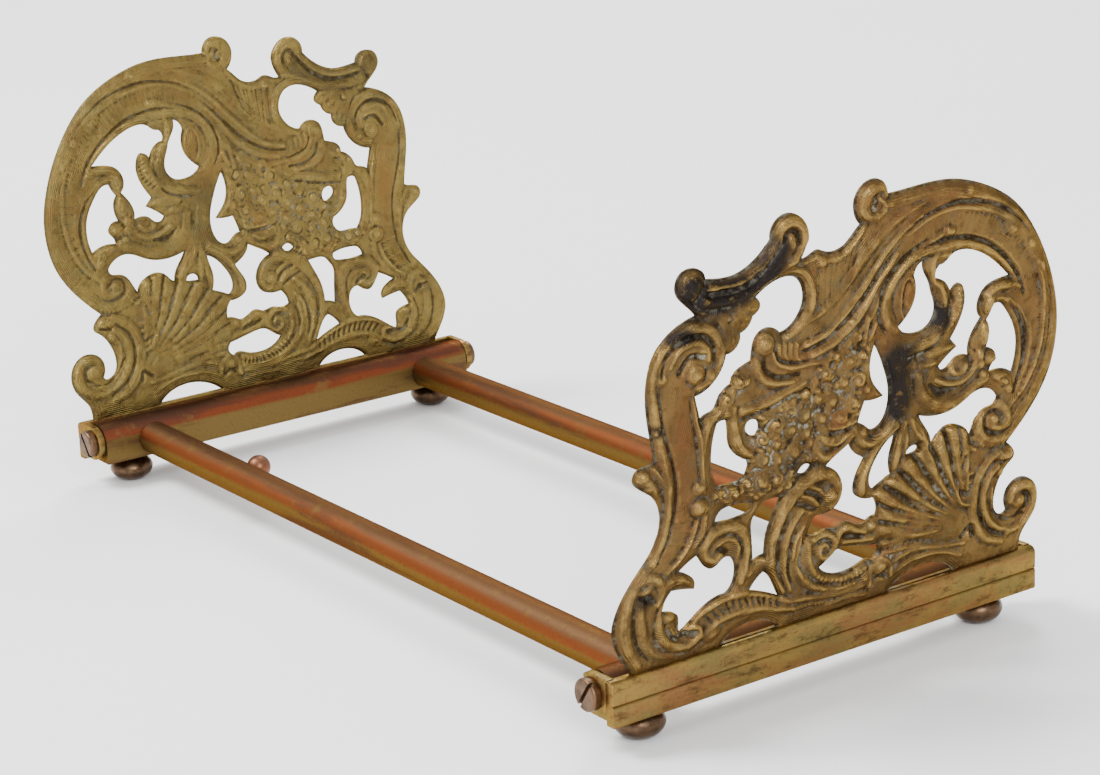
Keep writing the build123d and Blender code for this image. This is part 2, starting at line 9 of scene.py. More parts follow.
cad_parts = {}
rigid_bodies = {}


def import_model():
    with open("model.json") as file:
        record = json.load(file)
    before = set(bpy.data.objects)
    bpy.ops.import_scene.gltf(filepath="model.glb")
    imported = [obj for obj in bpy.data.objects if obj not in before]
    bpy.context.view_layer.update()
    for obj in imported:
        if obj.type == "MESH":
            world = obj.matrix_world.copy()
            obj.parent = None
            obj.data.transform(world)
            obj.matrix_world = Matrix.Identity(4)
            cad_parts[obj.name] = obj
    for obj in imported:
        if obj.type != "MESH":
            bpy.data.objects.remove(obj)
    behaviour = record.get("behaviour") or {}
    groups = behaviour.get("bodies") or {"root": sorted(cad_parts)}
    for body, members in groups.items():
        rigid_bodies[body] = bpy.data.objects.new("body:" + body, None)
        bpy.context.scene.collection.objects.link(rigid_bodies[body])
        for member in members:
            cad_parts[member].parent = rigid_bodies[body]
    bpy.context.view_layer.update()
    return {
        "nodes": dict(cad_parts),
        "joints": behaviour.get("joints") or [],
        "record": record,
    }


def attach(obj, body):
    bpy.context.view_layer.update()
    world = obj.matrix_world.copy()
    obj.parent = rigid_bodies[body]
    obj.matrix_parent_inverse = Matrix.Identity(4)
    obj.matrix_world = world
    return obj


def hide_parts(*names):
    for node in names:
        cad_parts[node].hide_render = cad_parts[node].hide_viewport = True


for old in list(bpy.data.objects):
    bpy.data.objects.remove(old)
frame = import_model()
MM = 0.001

# ---------------------------------------------------------------- relief raster
# The ornament is drawn on one raster, in the drawing millimetres of the casting
# (u along the rack's width, v height), as seen from outside the right end.
PITCH = 0.25
U0, U1, V0, V1 = -80.0, 82.0, 17.0, 145.0
cols = np.arange(U0, U1, PITCH)
rows = np.arange(V0, V1, PITCH)
SHAPE = (len(rows), len(cols))
FAR = 50.0                   # distance where no stroke is near

# The casting is the drawing, scaled, sheared and lowered by this much.
CAST_SCALE, CAST_SHEAR, CAST_SHEAR_V, CAST_DROP = 1.035, -0.042, 77.3, 1.9


def to_drawing(points):
    v = (points[:, 1] + CAST_DROP) / CAST_SCALE
    return np.stack([(points[:, 0] - CAST_SHEAR * (v - CAST_SHEAR_V)) / CAST_SCALE, v], 1)


def curve(points, step=0.7):
    """Points along a smooth curve (Catmull-Rom) through the given ones."""
    p = np.array(points, float)
    if len(p) == 2:
        p = np.array([p[0], (p[0] + p[1]) / 2, p[1]])
    ends = np.vstack([2 * p[0] - p[1], p, 2 * p[-1] - p[-2]])
    out = []
    for a, b, c, d in zip(ends, ends[1:], ends[2:], ends[3:]):
        count = max(2, int(np.hypot(*(c - b)) / step))
        t = np.linspace(0, 1, count, endpoint=False)[:, None]
        out.append(0.5 * (2 * b + (c - a) * t + (2 * a - 5 * b + 4 * c - d) * t**2
                          + (3 * b - a - 3 * c + d) * t**3))
    out.append(p[-1:])
    return np.vstack(out)


def window(low, high):
    """Slices of the raster, rows and columns, that cover a box."""
    i = np.clip((np.array([low[1] - V0, high[1] - V0]) / PITCH).astype(int) + [0, 2], 0, SHAPE[0])
    j = np.clip((np.array([low[0] - U0, high[0] - U0]) / PITCH).astype(int) + [0, 2], 0, SHAPE[1])
    return slice(*i), slice(*j)


def nearest(line, reach):
    """Raster window round a polyline: distance to it and how far along the nearest point is."""
    area = window(line.min(0) - reach, line.max(0) + reach)
    r, c = rows[area[0]], cols[area[1]]
    dist = np.full((len(r), len(c)), FAR)
    along = np.zeros_like(dist)
    length = np.r_[0, np.cumsum(np.hypot(*np.diff(line, axis=0).T))]
    for k in range(len(line) - 1):
        a, b = line[k], line[k + 1]
        low, high = np.minimum(a, b) - reach, np.maximum(a, b) + reach
        i0, i1 = np.searchsorted(r, [low[1], high[1]])
        j0, j1 = np.searchsorted(c, [low[0], high[0]])
        y, x = np.meshgrid(r[i0:i1], c[j0:j1], indexing="ij")
        d = b - a
        size = max(d @ d, 1e-9)
        t = np.clip(((x - a[0]) * d[0] + (y - a[1]) * d[1]) / size, 0, 1)
        near = np.hypot(x - a[0] - t * d[0], y - a[1] - t * d[1])
        part, run = dist[i0:i1, j0:j1], along[i0:i1, j0:j1]
        better = near < part
        part[better] = near[better]
        run[better] = (length[k] + t[better] * (length[k + 1] - length[k])) / length[-1]
    return area, dist, along


def widths(w, along):
    """Half width at each place along a stroke, from one value or from start, middle and end."""
    w = (w, w, w) if np.isscalar(w) else w
    return np.interp(along, [0, 0.5, 1], w)


forms = np.zeros(SHAPE)      # raised ornament, the highest stroke wins
cuts = np.zeros(SHAPE)       # grooves and pockets, the deepest wins
texture = np.zeros(SHAPE)    # fine hatching, added up
chance = np.random.default_rng(7)

STROKE_SPREAD, STROKE_HEIGHT, STROKE_CROWN = 1.2, 0.7, 0.8
VEINED, VEIN_DEPTH, VEIN_PITCH = 1.3, 0.07, 0.95            # strokes wider than VEINED have veins
BOSS_HEIGHT = 0.8
EYE_FROM, EYE_DEPTH, EYE_RING, EYE_WIDTH = 1.8, 0.2, 0.6, 0.16     # ring cut into larger bosses


def ridge(height, width, *points):
    """Raised stroke. width is its half width at the start, middle and end."""
    w_max = STROKE_SPREAD * np.max(width)
    area, dist, along = nearest(curve(points), w_max)
    w = STROKE_SPREAD * widths(width, along)
    x = np.clip(1 - (dist / w) ** 2, 0, 1)
    h = STROKE_HEIGHT * height * np.sqrt(w / w_max) * x**STROKE_CROWN
    forms[area] = np.maximum(forms[area], h)
    if w_max > VEINED:
        texture[area] += VEIN_DEPTH * np.cos(2 * math.pi * dist / VEIN_PITCH) * np.sqrt(x)


def groove(depth, width, *points):
    w_max = np.max(width)
    area, dist, along = nearest(curve(points), w_max)
    w = widths(width, along)
    x = np.clip(1 - (dist / w) ** 2, 0, 1)
    cuts[area] = np.maximum(cuts[area], depth * np.sqrt(w / w_max) * x)


def dome(height, centre, radii, turn=0.0, flat=0.5):
    """Raised boss. radii is one radius or two, turn is in degrees, a small flat is a flat top."""
    ru, rv = (radii, radii) if np.isscalar(radii) else radii
    big = max(ru, rv)
    c = np.array(centre, float)
    area = window(c - big, c + big)
    y, x = np.meshgrid(rows[area[0]] - c[1], cols[area[1]] - c[0], indexing="ij")
    a = math.radians(turn)
    p, q = x * math.cos(a) + y * math.sin(a), y * math.cos(a) - x * math.sin(a)
    reach = np.hypot(p / ru, q / rv)
    forms[area] = np.maximum(forms[area], BOSS_HEIGHT * height * np.clip(1 - reach**2, 0, 1) ** flat)
    if big > EYE_FROM:
        texture[area] -= EYE_DEPTH * np.exp(-(((reach - EYE_RING) / EYE_WIDTH) ** 2))


def comb(depth, width, count, first, second):
    """Short cuts side by side, from one curve to another."""
    a, b = curve(first), curve(second)
    for t in np.linspace(0, 1, count):
        p = a[int(round(t * (len(a) - 1)))]
        q = b[int(round(t * (len(b) - 1)))]
        area, dist, _ = nearest(np.array([p, q]), width * 2)
        texture[area] -= depth * np.exp(-((dist / width) ** 2))


def beads(height, radius, count, *points):
    line = curve(points, 0.3)
    for t in np.linspace(0, 1, count):
        dome(height, line[int(round(t * (len(line) - 1)))], radius)


def rose(u, v, r, turn=0.0):
    """Small rose: a boss with a coiled groove and loose petals round it."""
    dome(1.75, (u, v), r)
    coil = [(u + r * t * math.cos(turn + 7.5 * t), v + r * t * math.sin(turn + 7.5 * t))
            for t in (0.15, 0.3, 0.45, 0.6, 0.75, 0.88)]
    groove(1.0, (0.35, 0.42, 0.35), *coil)
    for k in range(3):
        a = turn + 2.1 * k
        dome(0.95, (u + 1.25 * r * math.cos(a), v + 1.25 * r * math.sin(a)), (0.75 * r, 0.42 * r),
             math.degrees(a) + 60)


def crumbs(count, centre, spread, turn=0.0):
    """Loose buds and leaf tips strewn round a place."""
    a = math.radians(turn)
    for p, q in chance.normal(0, 0.5, (count, 2)) * spread:
        at = (centre[0] + p * math.cos(a) - q * math.sin(a), centre[1] + p * math.sin(a) + q * math.cos(a))
        long = chance.uniform(0.7, 1.5)
        height = chance.uniform(0.6, 1.2)
        dome(height, at, (long, long * chance.uniform(0.45, 0.9)), chance.uniform(0, 180))


# ---------------------------------------------------------------- ornament
def big_scroll():
    ridge(1.0, (1.0, 2.6, 2.2), (14, 132.6), (30, 132.8), (45, 128.8), (58, 120.6), (67, 109.5),
          (72.4, 97), (73.6, 86), (71.2, 75.5), (65.5, 67.5), (59, 61.5))
    groove(1.1, (0.3, 0.9, 0.4), (22, 125.8), (30, 127.8), (38, 128.7), (46, 127.4), (53, 124.8),
           (59, 120.6), (63, 116.5))
    ridge(1.1, (0.4, 0.8, 0.6), (20, 122.8), (27, 126), (35, 127.3), (44, 126), (52, 123), (58, 119.2),
          (64, 112), (68.5, 103), (70, 92), (69, 82), (65, 73), (59, 67))
    groove(0.5, (0.3, 0.6, 0.4), (66.5, 112), (71, 102), (72.3, 91), (71, 80), (66.5, 71), (60, 64.5))
    groove(1.1, (0.4, 0.8, 0.6), (26, 118.4), (31, 119.3), (37, 119.2), (43, 118), (49, 115.3),
           (55, 110.8), (60, 104.8), (62.5, 99))
    ridge(1.2, (1.0, 1.3, 0.9), (24, 116.4), (30, 117.2), (37, 117.1), (43, 115.8), (49, 113),
          (54.5, 108.8), (59.5, 103.6))
    groove(1.2, (0.5, 1.3, 0.7), (57.5, 97.5), (61.6, 92.5), (64, 86.5), (64, 80.5), (62.4, 75),
           (60.5, 71))
    comb(0.14, 0.28, 44, [(30, 120.5), (42, 119.8), (53, 114.5), (61, 107), (65.5, 97)],
         [(30, 125), (43, 125), (55, 119.8), (64, 110.5), (69, 98)])
    comb(0.12, 0.25, 56, [(65.5, 94), (66.8, 85), (64.8, 76), (60.5, 69), (56.5, 65.5)],
         [(73.5, 96), (75, 84), (72.4, 74), (66.5, 66), (60, 60.5)])
    for centre, radii, turn in (((57, 118.2), (3.2, 1.7), -35), ((64, 112.8), (3.1, 2.2), -55),
                                ((68.6, 105.6), (2.8, 1.7), -65), ((34.6, 121.4), (2.4, 1.3), -10),
                                ((41, 131), (2.0, 1.4), 30)):
        dome(1.35, centre, radii, turn)
    ridge(1.0, (0.6, 1.0, 0.5), (27, 117.6), (30, 120.4), (34, 121.2))
    for k in range(4):
        ridge(0.9, (0.5, 0.45, 0.15), (39 + k, 129.2 - 0.3 * k), (41 + k, 132.6 - 0.5 * k))


def lower_volute():
    ridge(1.2, (1.0, 1.4, 1.0), (63, 60.4), (56.5, 58.2), (50.6, 59.2), (47.9, 63), (49, 67), (53, 68.8),
          (57, 67.3), (58.5, 64), (56.5, 61.7), (53.6, 62.4))
    groove(1.0, (0.3, 0.6, 0.4), (61.5, 63.5), (59, 60.8), (54.5, 60.1), (51, 62), (51, 65.6),
           (54, 66.8), (56.2, 64.8))
    dome(0.9, (53.8, 64.3), 1.5)
    beads(0.9, 0.6, 9, (48.6, 58.4), (52.4, 57), (56, 56.7), (59.6, 57.6))


def top_curl():
    ridge(1.6, (0.8, 2.1, 1.2), (13, 134.8), (12.3, 137), (9.3, 137.8), (6.2, 136.3), (5.1, 133.4),
          (6.6, 130.6), (9.6, 129.8))
    ridge(1.0, (0.9, 0.8, 0.5), (9.6, 129.8), (12.2, 131.2), (12, 133.3), (10.3, 134.3))
    groove(1.1, 0.9, (8.6, 132), (9.6, 133.6), (9, 135))
    dome(0.9, (14.2, 132.3), (1.8, 0.9), -30)


def sash():
    """Long acanthus sweep from the big scroll down to the left."""
    ridge(0.8, (0.5, 1.4, 0.7), (27, 131.2), (18, 128.3), (10, 123.8), (4, 118.3), (-2, 112.4),
          (-8, 108), (-14, 105.4))
    ridge(1.2, (0.4, 1.0, 0.8), (25, 127.4), (18, 123.9), (12, 118.8), (6, 112.3), (0, 106.4),
          (-6, 102), (-13, 100))
    groove(1.1, (0.2, 0.8, 0.5), (19, 121.8), (13, 116.4), (8, 110.9), (3, 106), (-2, 102.2),
           (-8, 99.4), (-14, 98.4))
    ridge(1.1, (0.5, 1.0, 0.8), (17, 118.6), (11, 112.4), (7, 107), (2, 102), (-4, 98.4), (-11, 96.6))
    groove(0.35, (0.2, 0.4, 0.2), (22, 129), (14, 124.2), (7, 118.4), (1, 112.4), (-5, 107.3))
    groove(0.35, (0.2, 0.4, 0.2), (14, 119.6), (8, 114), (2, 108.4), (-4, 104), (-11, 101.7))
    ridge(1.0, (0.3, 0.9, 0.7), (11.5, 108), (9, 103.6), (5, 100), (0, 96.5), (-6, 94.6), (-14, 94.8))
    dome(1.4, (-26.3, 103), 3.0)
    ridge(1.1, (0.5, 0.9, 0.4), (-24.2, 100.6), (-22.6, 97.4), (-18.6, 95.2), (-12.6, 94.4))
    for k in range(4):
        ridge(1.0, (0.8, 0.8, 0.3), (-21.9 + 1.9 * k, 102 - 0.4 * k), (-22.1 + 1.9 * k, 99.6 - 0.6 * k),
              (-20.8 + 2 * k, 97.6 - 0.5 * k))
    groove(0.8, (0.5, 0.5, 0.3), (-23.2, 101), (-21.6, 97.6), (-17, 96), (-12, 95.4))
    ridge(1.2, (1.2, 1.0, 0.6), (-29.2, 98.6), (-27.6, 94.6), (-23.6, 91.9), (-17, 91))
    groove(0.9, 0.7, (-26.5, 98.8), (-25.4, 95.4), (-21, 92.9), (-15, 92.6))


def top_volute():
    ridge(1.3, (1.0, 1.5, 1.1), (30, 118.6), (24, 117.3), (18.5, 114.2), (14.7, 109.8), (13.2, 104.5),
          (14.5, 99.8), (17.8, 97.6), (21, 97.8))
    groove(0.7, (0.3, 0.5, 0.3), (25, 115.4), (19.6, 112.6), (16.6, 108.4), (16, 103.8), (17.4, 100.4))
    groove(1.0, (0.3, 0.7, 0.5), (27, 120.5), (20, 117.4), (14.4, 112.4), (11.7, 107), (11.4, 102),
           (13.3, 98))
    dome(1.0, (21.2, 105.4), (3.2, 6.3), flat=0.22)
    ring = [(21.2 - 2.1 * math.cos(a), 105.4 + 5.0 * math.sin(a)) for a in np.linspace(-2.2, 2.2, 12)]
    groove(0.8, 0.45, *ring)
    beads(0.6, 0.5, 6, (19.5, 112.6), (22, 112.6), (24.4, 111.6))


def shoulder():
    ridge(1.1, (0.8, 1.3, 0.9), (-22, 120.2), (-17.5, 120.6), (-13.1, 118.4), (-11.4, 113.5),
          (-12.1, 108.6), (-15.6, 105), (-19.5, 103.2))
    comb(0.2, 0.26, 30, [(-9.8, 107.6), (-4, 110), (1.5, 115)], [(-9.6, 120), (-3, 120.4), (5, 124.6)])
    ridge(1.0, (0.6, 1.0, 0.6), (-13.5, 121.8), (-9.5, 122.5), (-5.5, 121.2), (-1, 121.4), (3.2, 124.6),
          (6, 128))
    dome(1.1, (-8, 121.2), 1.7)


def s_scroll():
    ridge(1.5, (0.8, 1.3, 1.2), (-46.5, 121.4), (-41, 121.1), (-35, 121.2), (-30, 122.8), (-26, 125.6),
          (-23, 128.8))
    groove(1.0, (0.8, 1.2, 0.9), (-45, 119.6), (-38, 119.2), (-32, 119.9), (-27, 122.3), (-23, 126),
           (-20, 129.4))
    ridge(1.3, (1.1, 1.2, 0.8), (-44, 117.1), (-37, 116.8), (-30, 117.8), (-24, 120.3), (-19, 122.3),
          (-15.6, 123.4))
    ridge(1.9, (1.2, 1.9, 1.0), (-22.4, 129.6), (-21.6, 132.4), (-18.5, 133.8), (-15.2, 132.4),
          (-13.8, 129.4), (-14.6, 126.2), (-16.6, 123.8))
    groove(1.0, 0.8, (-20, 129.6), (-18.4, 131.2), (-16.4, 130.4), (-15.9, 127.6))
    dome(1.1, (-18, 127.6), (1.4, 2.1))
    dome(2.0, (-49.3, 122.6), 3.9)
    ridge(1.2, (0.9, 1.0, 0.7), (-52.4, 121.5), (-51.2, 118.5), (-48.4, 116), (-45, 115))
    groove(1.0, 0.7, (-46.2, 121.6), (-48, 119.4), (-48.6, 117.6))
    dome(1.6, (-45.5, 118), 2.1)


def leaf_cluster():
    for tip in ((-29.4, 115), (-29.6, 112.8), (-31.4, 110.4), (-34.2, 107.6), (-36, 105), (-37.6, 103.4)):
        start = (-41 + 0.25 * (tip[1] - 104), 113.5)
        middle = ((start[0] + tip[0]) / 2 + 0.6, (start[1] + tip[1]) / 2 + 0.8)
        ridge(1.2, (0.8, 1.5, 0.3), start, middle, tip)
        groove(0.5, (0.2, 0.3, 0.15), start, middle, tip)
    rose(-38.5, 112.5, 1.9, 0.4)


def column():
    ridge(1.4, (1.0, 1.5, 1.2), (-61.7, 98), (-60.6, 104.5), (-57, 109), (-52, 111.7), (-46.5, 111.6),
          (-42.2, 109), (-40.2, 105), (-40.5, 100.6), (-43, 97.4), (-47, 96))
    groove(1.1, (0.4, 0.7, 0.4), (-58.8, 101), (-56.6, 106.3), (-52, 109.4), (-46.6, 109.5),
           (-42.9, 106.4), (-42.4, 102.5))
    ridge(1.0, (0.5, 0.9, 0.6), (-56, 103), (-53.2, 107), (-48.5, 108), (-44.9, 105.8), (-44.2, 102.6))
    groove(1.2, 1.0, (-53, 101), (-50, 104.4), (-46, 104))
    dome(1.5, (-48.2, 99.7), 2.7)
    dome(1.4, (-43.3, 98.3), 2.0)
    dome(1.1, (-46, 105.3), 1.3)
    dome(1.0, (-58.9, 100.4), (2.0, 1.6))
    ridge(1.1, (1.2, 1.0, 1.3), (-61.6, 98), (-60.7, 91), (-59.3, 84), (-57.8, 78), (-56.8, 72),
          (-56.8, 65), (-58.4, 58), (-61.5, 52))
    groove(1.1, (0.3, 0.55, 0.4), (-59.4, 97), (-58.6, 90), (-57.2, 84), (-55.2, 77.5), (-54.2, 71),
           (-54.6, 64), (-56.3, 57.5), (-59.8, 51.4))
    ridge(0.9, (0.4, 0.5, 0.4), (-48.6, 94.5), (-48, 90), (-46.9, 84), (-46, 77), (-45.6, 70.5))
    groove(0.6, (0.3, 0.4, 0.3), (-49.8, 94), (-49.2, 88), (-48, 82), (-47.2, 75), (-47, 70))
    ridge(1.0, (0.9, 1.3, 1.2), (-45.6, 78), (-45.2, 82), (-43.4, 86), (-40.4, 88.3))
    ridge(1.2, (1.3, 1.1, 0.7), (-65.6, 76), (-63.2, 74.2), (-60.8, 71), (-59.2, 66), (-59.4, 61),
          (-61.4, 56))
    dome(1.3, (-64.2, 75.8), 1.9)
    dome(1.1, (-62.4, 72.2), 1.3)
    ridge(1.0, (0.3, 0.5, 0.4), (-61, 77.6), (-58.4, 73.4), (-56.6, 68.5), (-56.2, 63))
    dome(1.3, (-47, 69), (2.2, 2.0))
    dome(1.7, (-47, 63.6), (2.8, 2.4))
    ridge(1.0, (1.0, 1.0, 0.4), (-45.5, 60.6), (-46, 56.6), (-48.6, 53))
    comb(0.3, 0.3, 14, [(-54.8, 61), (-56, 56), (-58.6, 51.4)], [(-48.8, 60), (-50.6, 55), (-54.6, 50)])
    ridge(1.0, (0.5, 0.7, 0.5), (-47.8, 60), (-49.6, 55.4), (-53.4, 50.6), (-57, 48))


def column_foot():
    ridge(1.3, (1.2, 2.0, 1.2), (-64.5, 49.6), (-69, 43.4), (-70.8, 36), (-69.4, 29.6), (-66.4, 24.4))
    ridge(1.0, (1.0, 1.4, 0.9), (-61.8, 46.6), (-65, 42.2), (-65.6, 36.4), (-64, 30), (-60.6, 26),
          (-56, 24.4))
    groove(0.8, (0.4, 0.6, 0.3), (-67.4, 41), (-67.8, 35.5), (-66.4, 29.6), (-63, 25))
    groove(1.3, (0.6, 1.5, 0.6), (-66, 43.4), (-63, 42.6), (-60.9, 41))
    ridge(1.4, (0.8, 1.4, 0.9), (-67, 46.6), (-63, 47.8), (-59.6, 46.2), (-58.5, 43), (-60, 40.2))
    ridge(1.5, (1.1, 1.4, 1.1), (-58.2, 39), (-59.8, 34), (-58.5, 29.6), (-55, 26.9), (-50.6, 26),
          (-46.6, 27.8))
    dome(1.6, (-56, 36), (2.5, 2.0), 20)
    ridge(1.1, (0.8, 0.8, 0.5), (-46.6, 27.8), (-46.9, 30), (-50, 30.9), (-53.4, 30.4))
    groove(1.1, 0.7, (-48.8, 28.6), (-51.5, 29.3), (-55, 29), (-57, 32))
    ridge(1.1, (1.2, 1.6, 0.3), (-57.4, 44.4), (-53.4, 45.2), (-50, 43.4))
    groove(0.5, 0.3, (-57, 44.4), (-53.4, 44.8), (-50.6, 43.6))
    for k in range(5):
        ridge(0.7, (0.2, 0.5, 0.2), (-64 + 1.4 * k, 48.6 - 0.5 * k), (-62.6 + 1.4 * k, 46.4 - 0.6 * k))


def base_strip():
    ridge(1.1, (0.6, 1.0, 0.7), (-50, 30.2), (-46, 33.4), (-40, 35.5), (-34, 35.8), (-28, 34.4),
          (-22, 31.9), (-17, 29.3))
    ridge(1.1, (0.9, 1.1, 0.8), (-45.5, 27), (-41, 30), (-35, 30.8), (-28, 30.1), (-22, 28.4),
          (-16, 27))
    comb(0.55, 0.36, 12, [(-44.6, 32.3), (-38, 34.4), (-30, 33.8), (-21, 30.7)],
         [(-42.8, 30.5), (-37, 32.2), (-30, 31.8), (-21, 29.3)])
    dome(1.2, (-43, 27), (3.0, 1.8), 25)
    ridge(1.0, (0.6, 0.9, 0.7), (-19, 29.4), (-12, 28.8), (-5, 27.7), (2, 27), (9, 27.3))
    beads(0.8, 0.6, 9, (-15.6, 26.4), (-11, 26.8), (-6, 25.9))
    ridge(0.8, (0.6, 0.7, 0.5), (-4, 24.6), (2, 25.2), (9, 24.2))
    ridge(1.0, (0.4, 0.8, 0.6), (17, 30.4), (22, 32.6), (28, 33), (36, 31.3), (44, 30.2))
    ridge(0.9, (0.5, 0.8, 0.6), (17.5, 27), (23, 29.4), (30, 30.4), (37, 29.2), (43, 26.8))


def small_curl():
    ridge(1.5, (1.2, 1.8, 1.2), (-33.2, 39.5), (-31.8, 45), (-31.6, 50), (-33.8, 54.2), (-38, 56),
          (-42.6, 55), (-45.3, 52), (-44.8, 48.8), (-42, 47.4), (-39.8, 48.6))
    ridge(0.9, (0.5, 0.7, 0.4), (-34.4, 45), (-34.4, 49.6), (-36.6, 52.2), (-39.8, 52.2), (-41.8, 50.6))
    groove(1.2, 0.9, (-41, 50.4), (-39, 49.6), (-37.6, 48.6))
    groove(0.6, (0.2, 0.35, 0.2), (-32.8, 42), (-33, 49), (-36, 53.7), (-41, 54))
    ridge(1.1, 0.9, (-31, 40.6), (-28, 43.2), (-25, 42.8), (-23.4, 39.6))
    groove(0.5, 0.35, (-30, 41.6), (-27.4, 43.2), (-24.6, 42))


def big_acanthus():
    ridge(1.7, (1.0, 1.8, 1.5), (-19.6, 32.6), (-22.4, 38), (-23.6, 44), (-22.6, 50), (-19.6, 55.8),
          (-14.8, 60.6), (-9, 63), (-4, 62), (-1.3, 59), (-1.2, 55.8), (-3.4, 53.6))
    dome(1.9, (-3.7, 56.2), (2.8, 2.5))
    groove(1.2, (0.5, 1.0, 0.5), (-15.4, 56.6), (-11.6, 55), (-8.4, 53))
    ridge(1.1, 0.45, (-12, 61), (-8, 59), (-5.6, 56.4))
    groove(1.0, 0.5, (-12.6, 59.4), (-8.6, 57.6), (-6.8, 55.2))
    ridge(1.0, 0.45, (-14, 58.6), (-10.4, 57), (-8, 54.6))
    ridge(1.1, (0.8, 1.2, 0.8), (-17, 32.6), (-19.2, 39), (-19.2, 45), (-17, 50.6), (-13, 54.6))
    groove(0.9, (0.3, 0.9, 0.4), (-15.6, 32), (-17.6, 37), (-17.4, 43), (-15.8, 48))
    ridge(1.0, 0.5, (-12.6, 49.6), (-15.6, 46), (-16.4, 41.4))
    groove(1.1, (0.4, 0.9, 0.4), (-12.6, 45.6), (-14, 40), (-12.4, 34.8))
    ridge(1.2, (0.6, 1.2, 0.8), (-13.6, 47.6), (-14.6, 40.4), (-12.6, 34.4), (-8, 30.8), (-2, 29),
          (5, 28.6))
    ridge(1.2, (0.8, 0.9, 0.7), (-10.6, 45.4), (-10.9, 40), (-9, 35.4), (-5.6, 32.6), (0, 31),
          (6, 31), (9, 32.2))
    comb(0.45, 0.32, 13, [(-7.8, 34.6), (-3, 31.9), (3, 30.8), (8, 31.3)],
         [(-9.3, 32.9), (-3.6, 30.2), (3, 29.1), (8.5, 29.8)])
    dome(1.4, (-9, 45), (1.9, 1.4), 10)


def ribbon_and_spiral():
    ridge(1.6, (1.2, 1.0, 0.4), (-9.6, 45.2), (-5.6, 45.6), (-2, 43.2), (-1.8, 40), (-4.2, 38.2),
          (-6.9, 39.4), (-6.8, 41.8), (-5, 42.4), (-4.1, 41.1))
    groove(0.9, 0.4, (-7.6, 43.4), (-4.8, 44), (-3.4, 42.2), (-3.6, 40.4))
    ridge(1.3, (0.9, 1.1, 0.8), (-1.8, 42), (0, 45), (3, 45.6), (6, 44.2), (8.2, 42.6))
    ridge(1.3, (0.9, 1.1, 0.8), (4, 44.8), (7, 43.6), (10, 44.4), (12.2, 42.6))
    groove(1.2, 0.9, (1.4, 43), (4.6, 42.2), (7.6, 41.4))
    ridge(1.0, 0.8, (1.6, 41), (6, 40.4), (11, 39.8))
    dome(1.4, (10.6, 44), (2.2, 1.8))
    ridge(1.2, (0.7, 0.9, 0.8), (6, 32.2), (9.5, 34.4), (12.4, 33.8), (13.4, 36.4))


def lower_knot():
    dome(1.7, (13.9, 31), (2.5, 2.3))
    ridge(1.3, (0.8, 0.9, 0.8), (10.2, 26.4), (11, 30.6), (13.8, 33.6), (17, 31.4), (18, 27.4))
    groove(1.0, 0.7, (12.4, 27.6), (14.2, 28.6), (16.4, 27.4))
    dome(1.1, (9, 29.3), (1.4, 2.2))


SHELL_HUB = np.array([46.0, 34.0])


def shell():
    ends = [(14, 41.8), (13, 46.8), (13.4, 51.6), (17.6, 55.8), (22.8, 58.8), (28.2, 61.2), (33.4, 64),
            (38.6, 65), (43, 63)]
    for k, end in enumerate(ends):
        end = np.array(end)
        bend = np.array([0.06, 0.10]) * (end - SHELL_HUB)[::-1] * [-1, 1]
        start = SHELL_HUB + 0.3 * (end - SHELL_HUB)
        middle = SHELL_HUB + 0.64 * (end - SHELL_HUB) + 0.4 * bend
        ridge(1.6, (0.4, 1.4, 2.0), start, middle, end)
    for a, b in zip(ends, ends[1:]):
        end = (np.array(a) + np.array(b)) / 2
        start = SHELL_HUB + 0.36 * (end - SHELL_HUB)
        middle = SHELL_HUB + 0.66 * (end - SHELL_HUB)
        groove(0.7, (0.2, 0.5, 0.7), start, middle, end)
        beads(0.55, 0.38, 9, SHELL_HUB + 0.5 * (end - SHELL_HUB), SHELL_HUB + 0.9 * (end - SHELL_HUB))
    dome(0.9, (39, 37), (8.0, 4.4), -18, flat=0.8)
    beads(0.7, 0.45, 14, (16, 38.9), (22, 38.7), (28, 37.3), (33, 35.2))
    beads(0.7, 0.45, 12, (16, 36.4), (22, 35.9), (28, 34.5))
    for low in (34.6, 37.4, 40.2):
        ridge(0.9, (0.5, 0.6, 0.2), (15, low), (24, low - 0.3), (33, low - 2.6))
    ridge(1.3, (0.5, 0.8, 0.5), (47, 41), (42.4, 42.4), (40.4, 45.6), (42, 48.4), (45.6, 48))
    ridge(1.4, (0.5, 0.9, 0.6), (46.4, 50.6), (42.2, 50.6), (40, 53.4), (40.6, 57.4), (44, 58.8),
          (47, 57))
    groove(1.1, 1.0, (42.6, 45.6), (44.6, 44.6))
    groove(1.1, 1.1, (42.8, 53.4), (43.4, 55.8))
    ridge(1.0, 0.5, (44.6, 60.4), (47.5, 60), (49.6, 57.6))
    groove(1.2, 1.0, (43.4, 32.4), (46.6, 34.6), (47.4, 31.8))


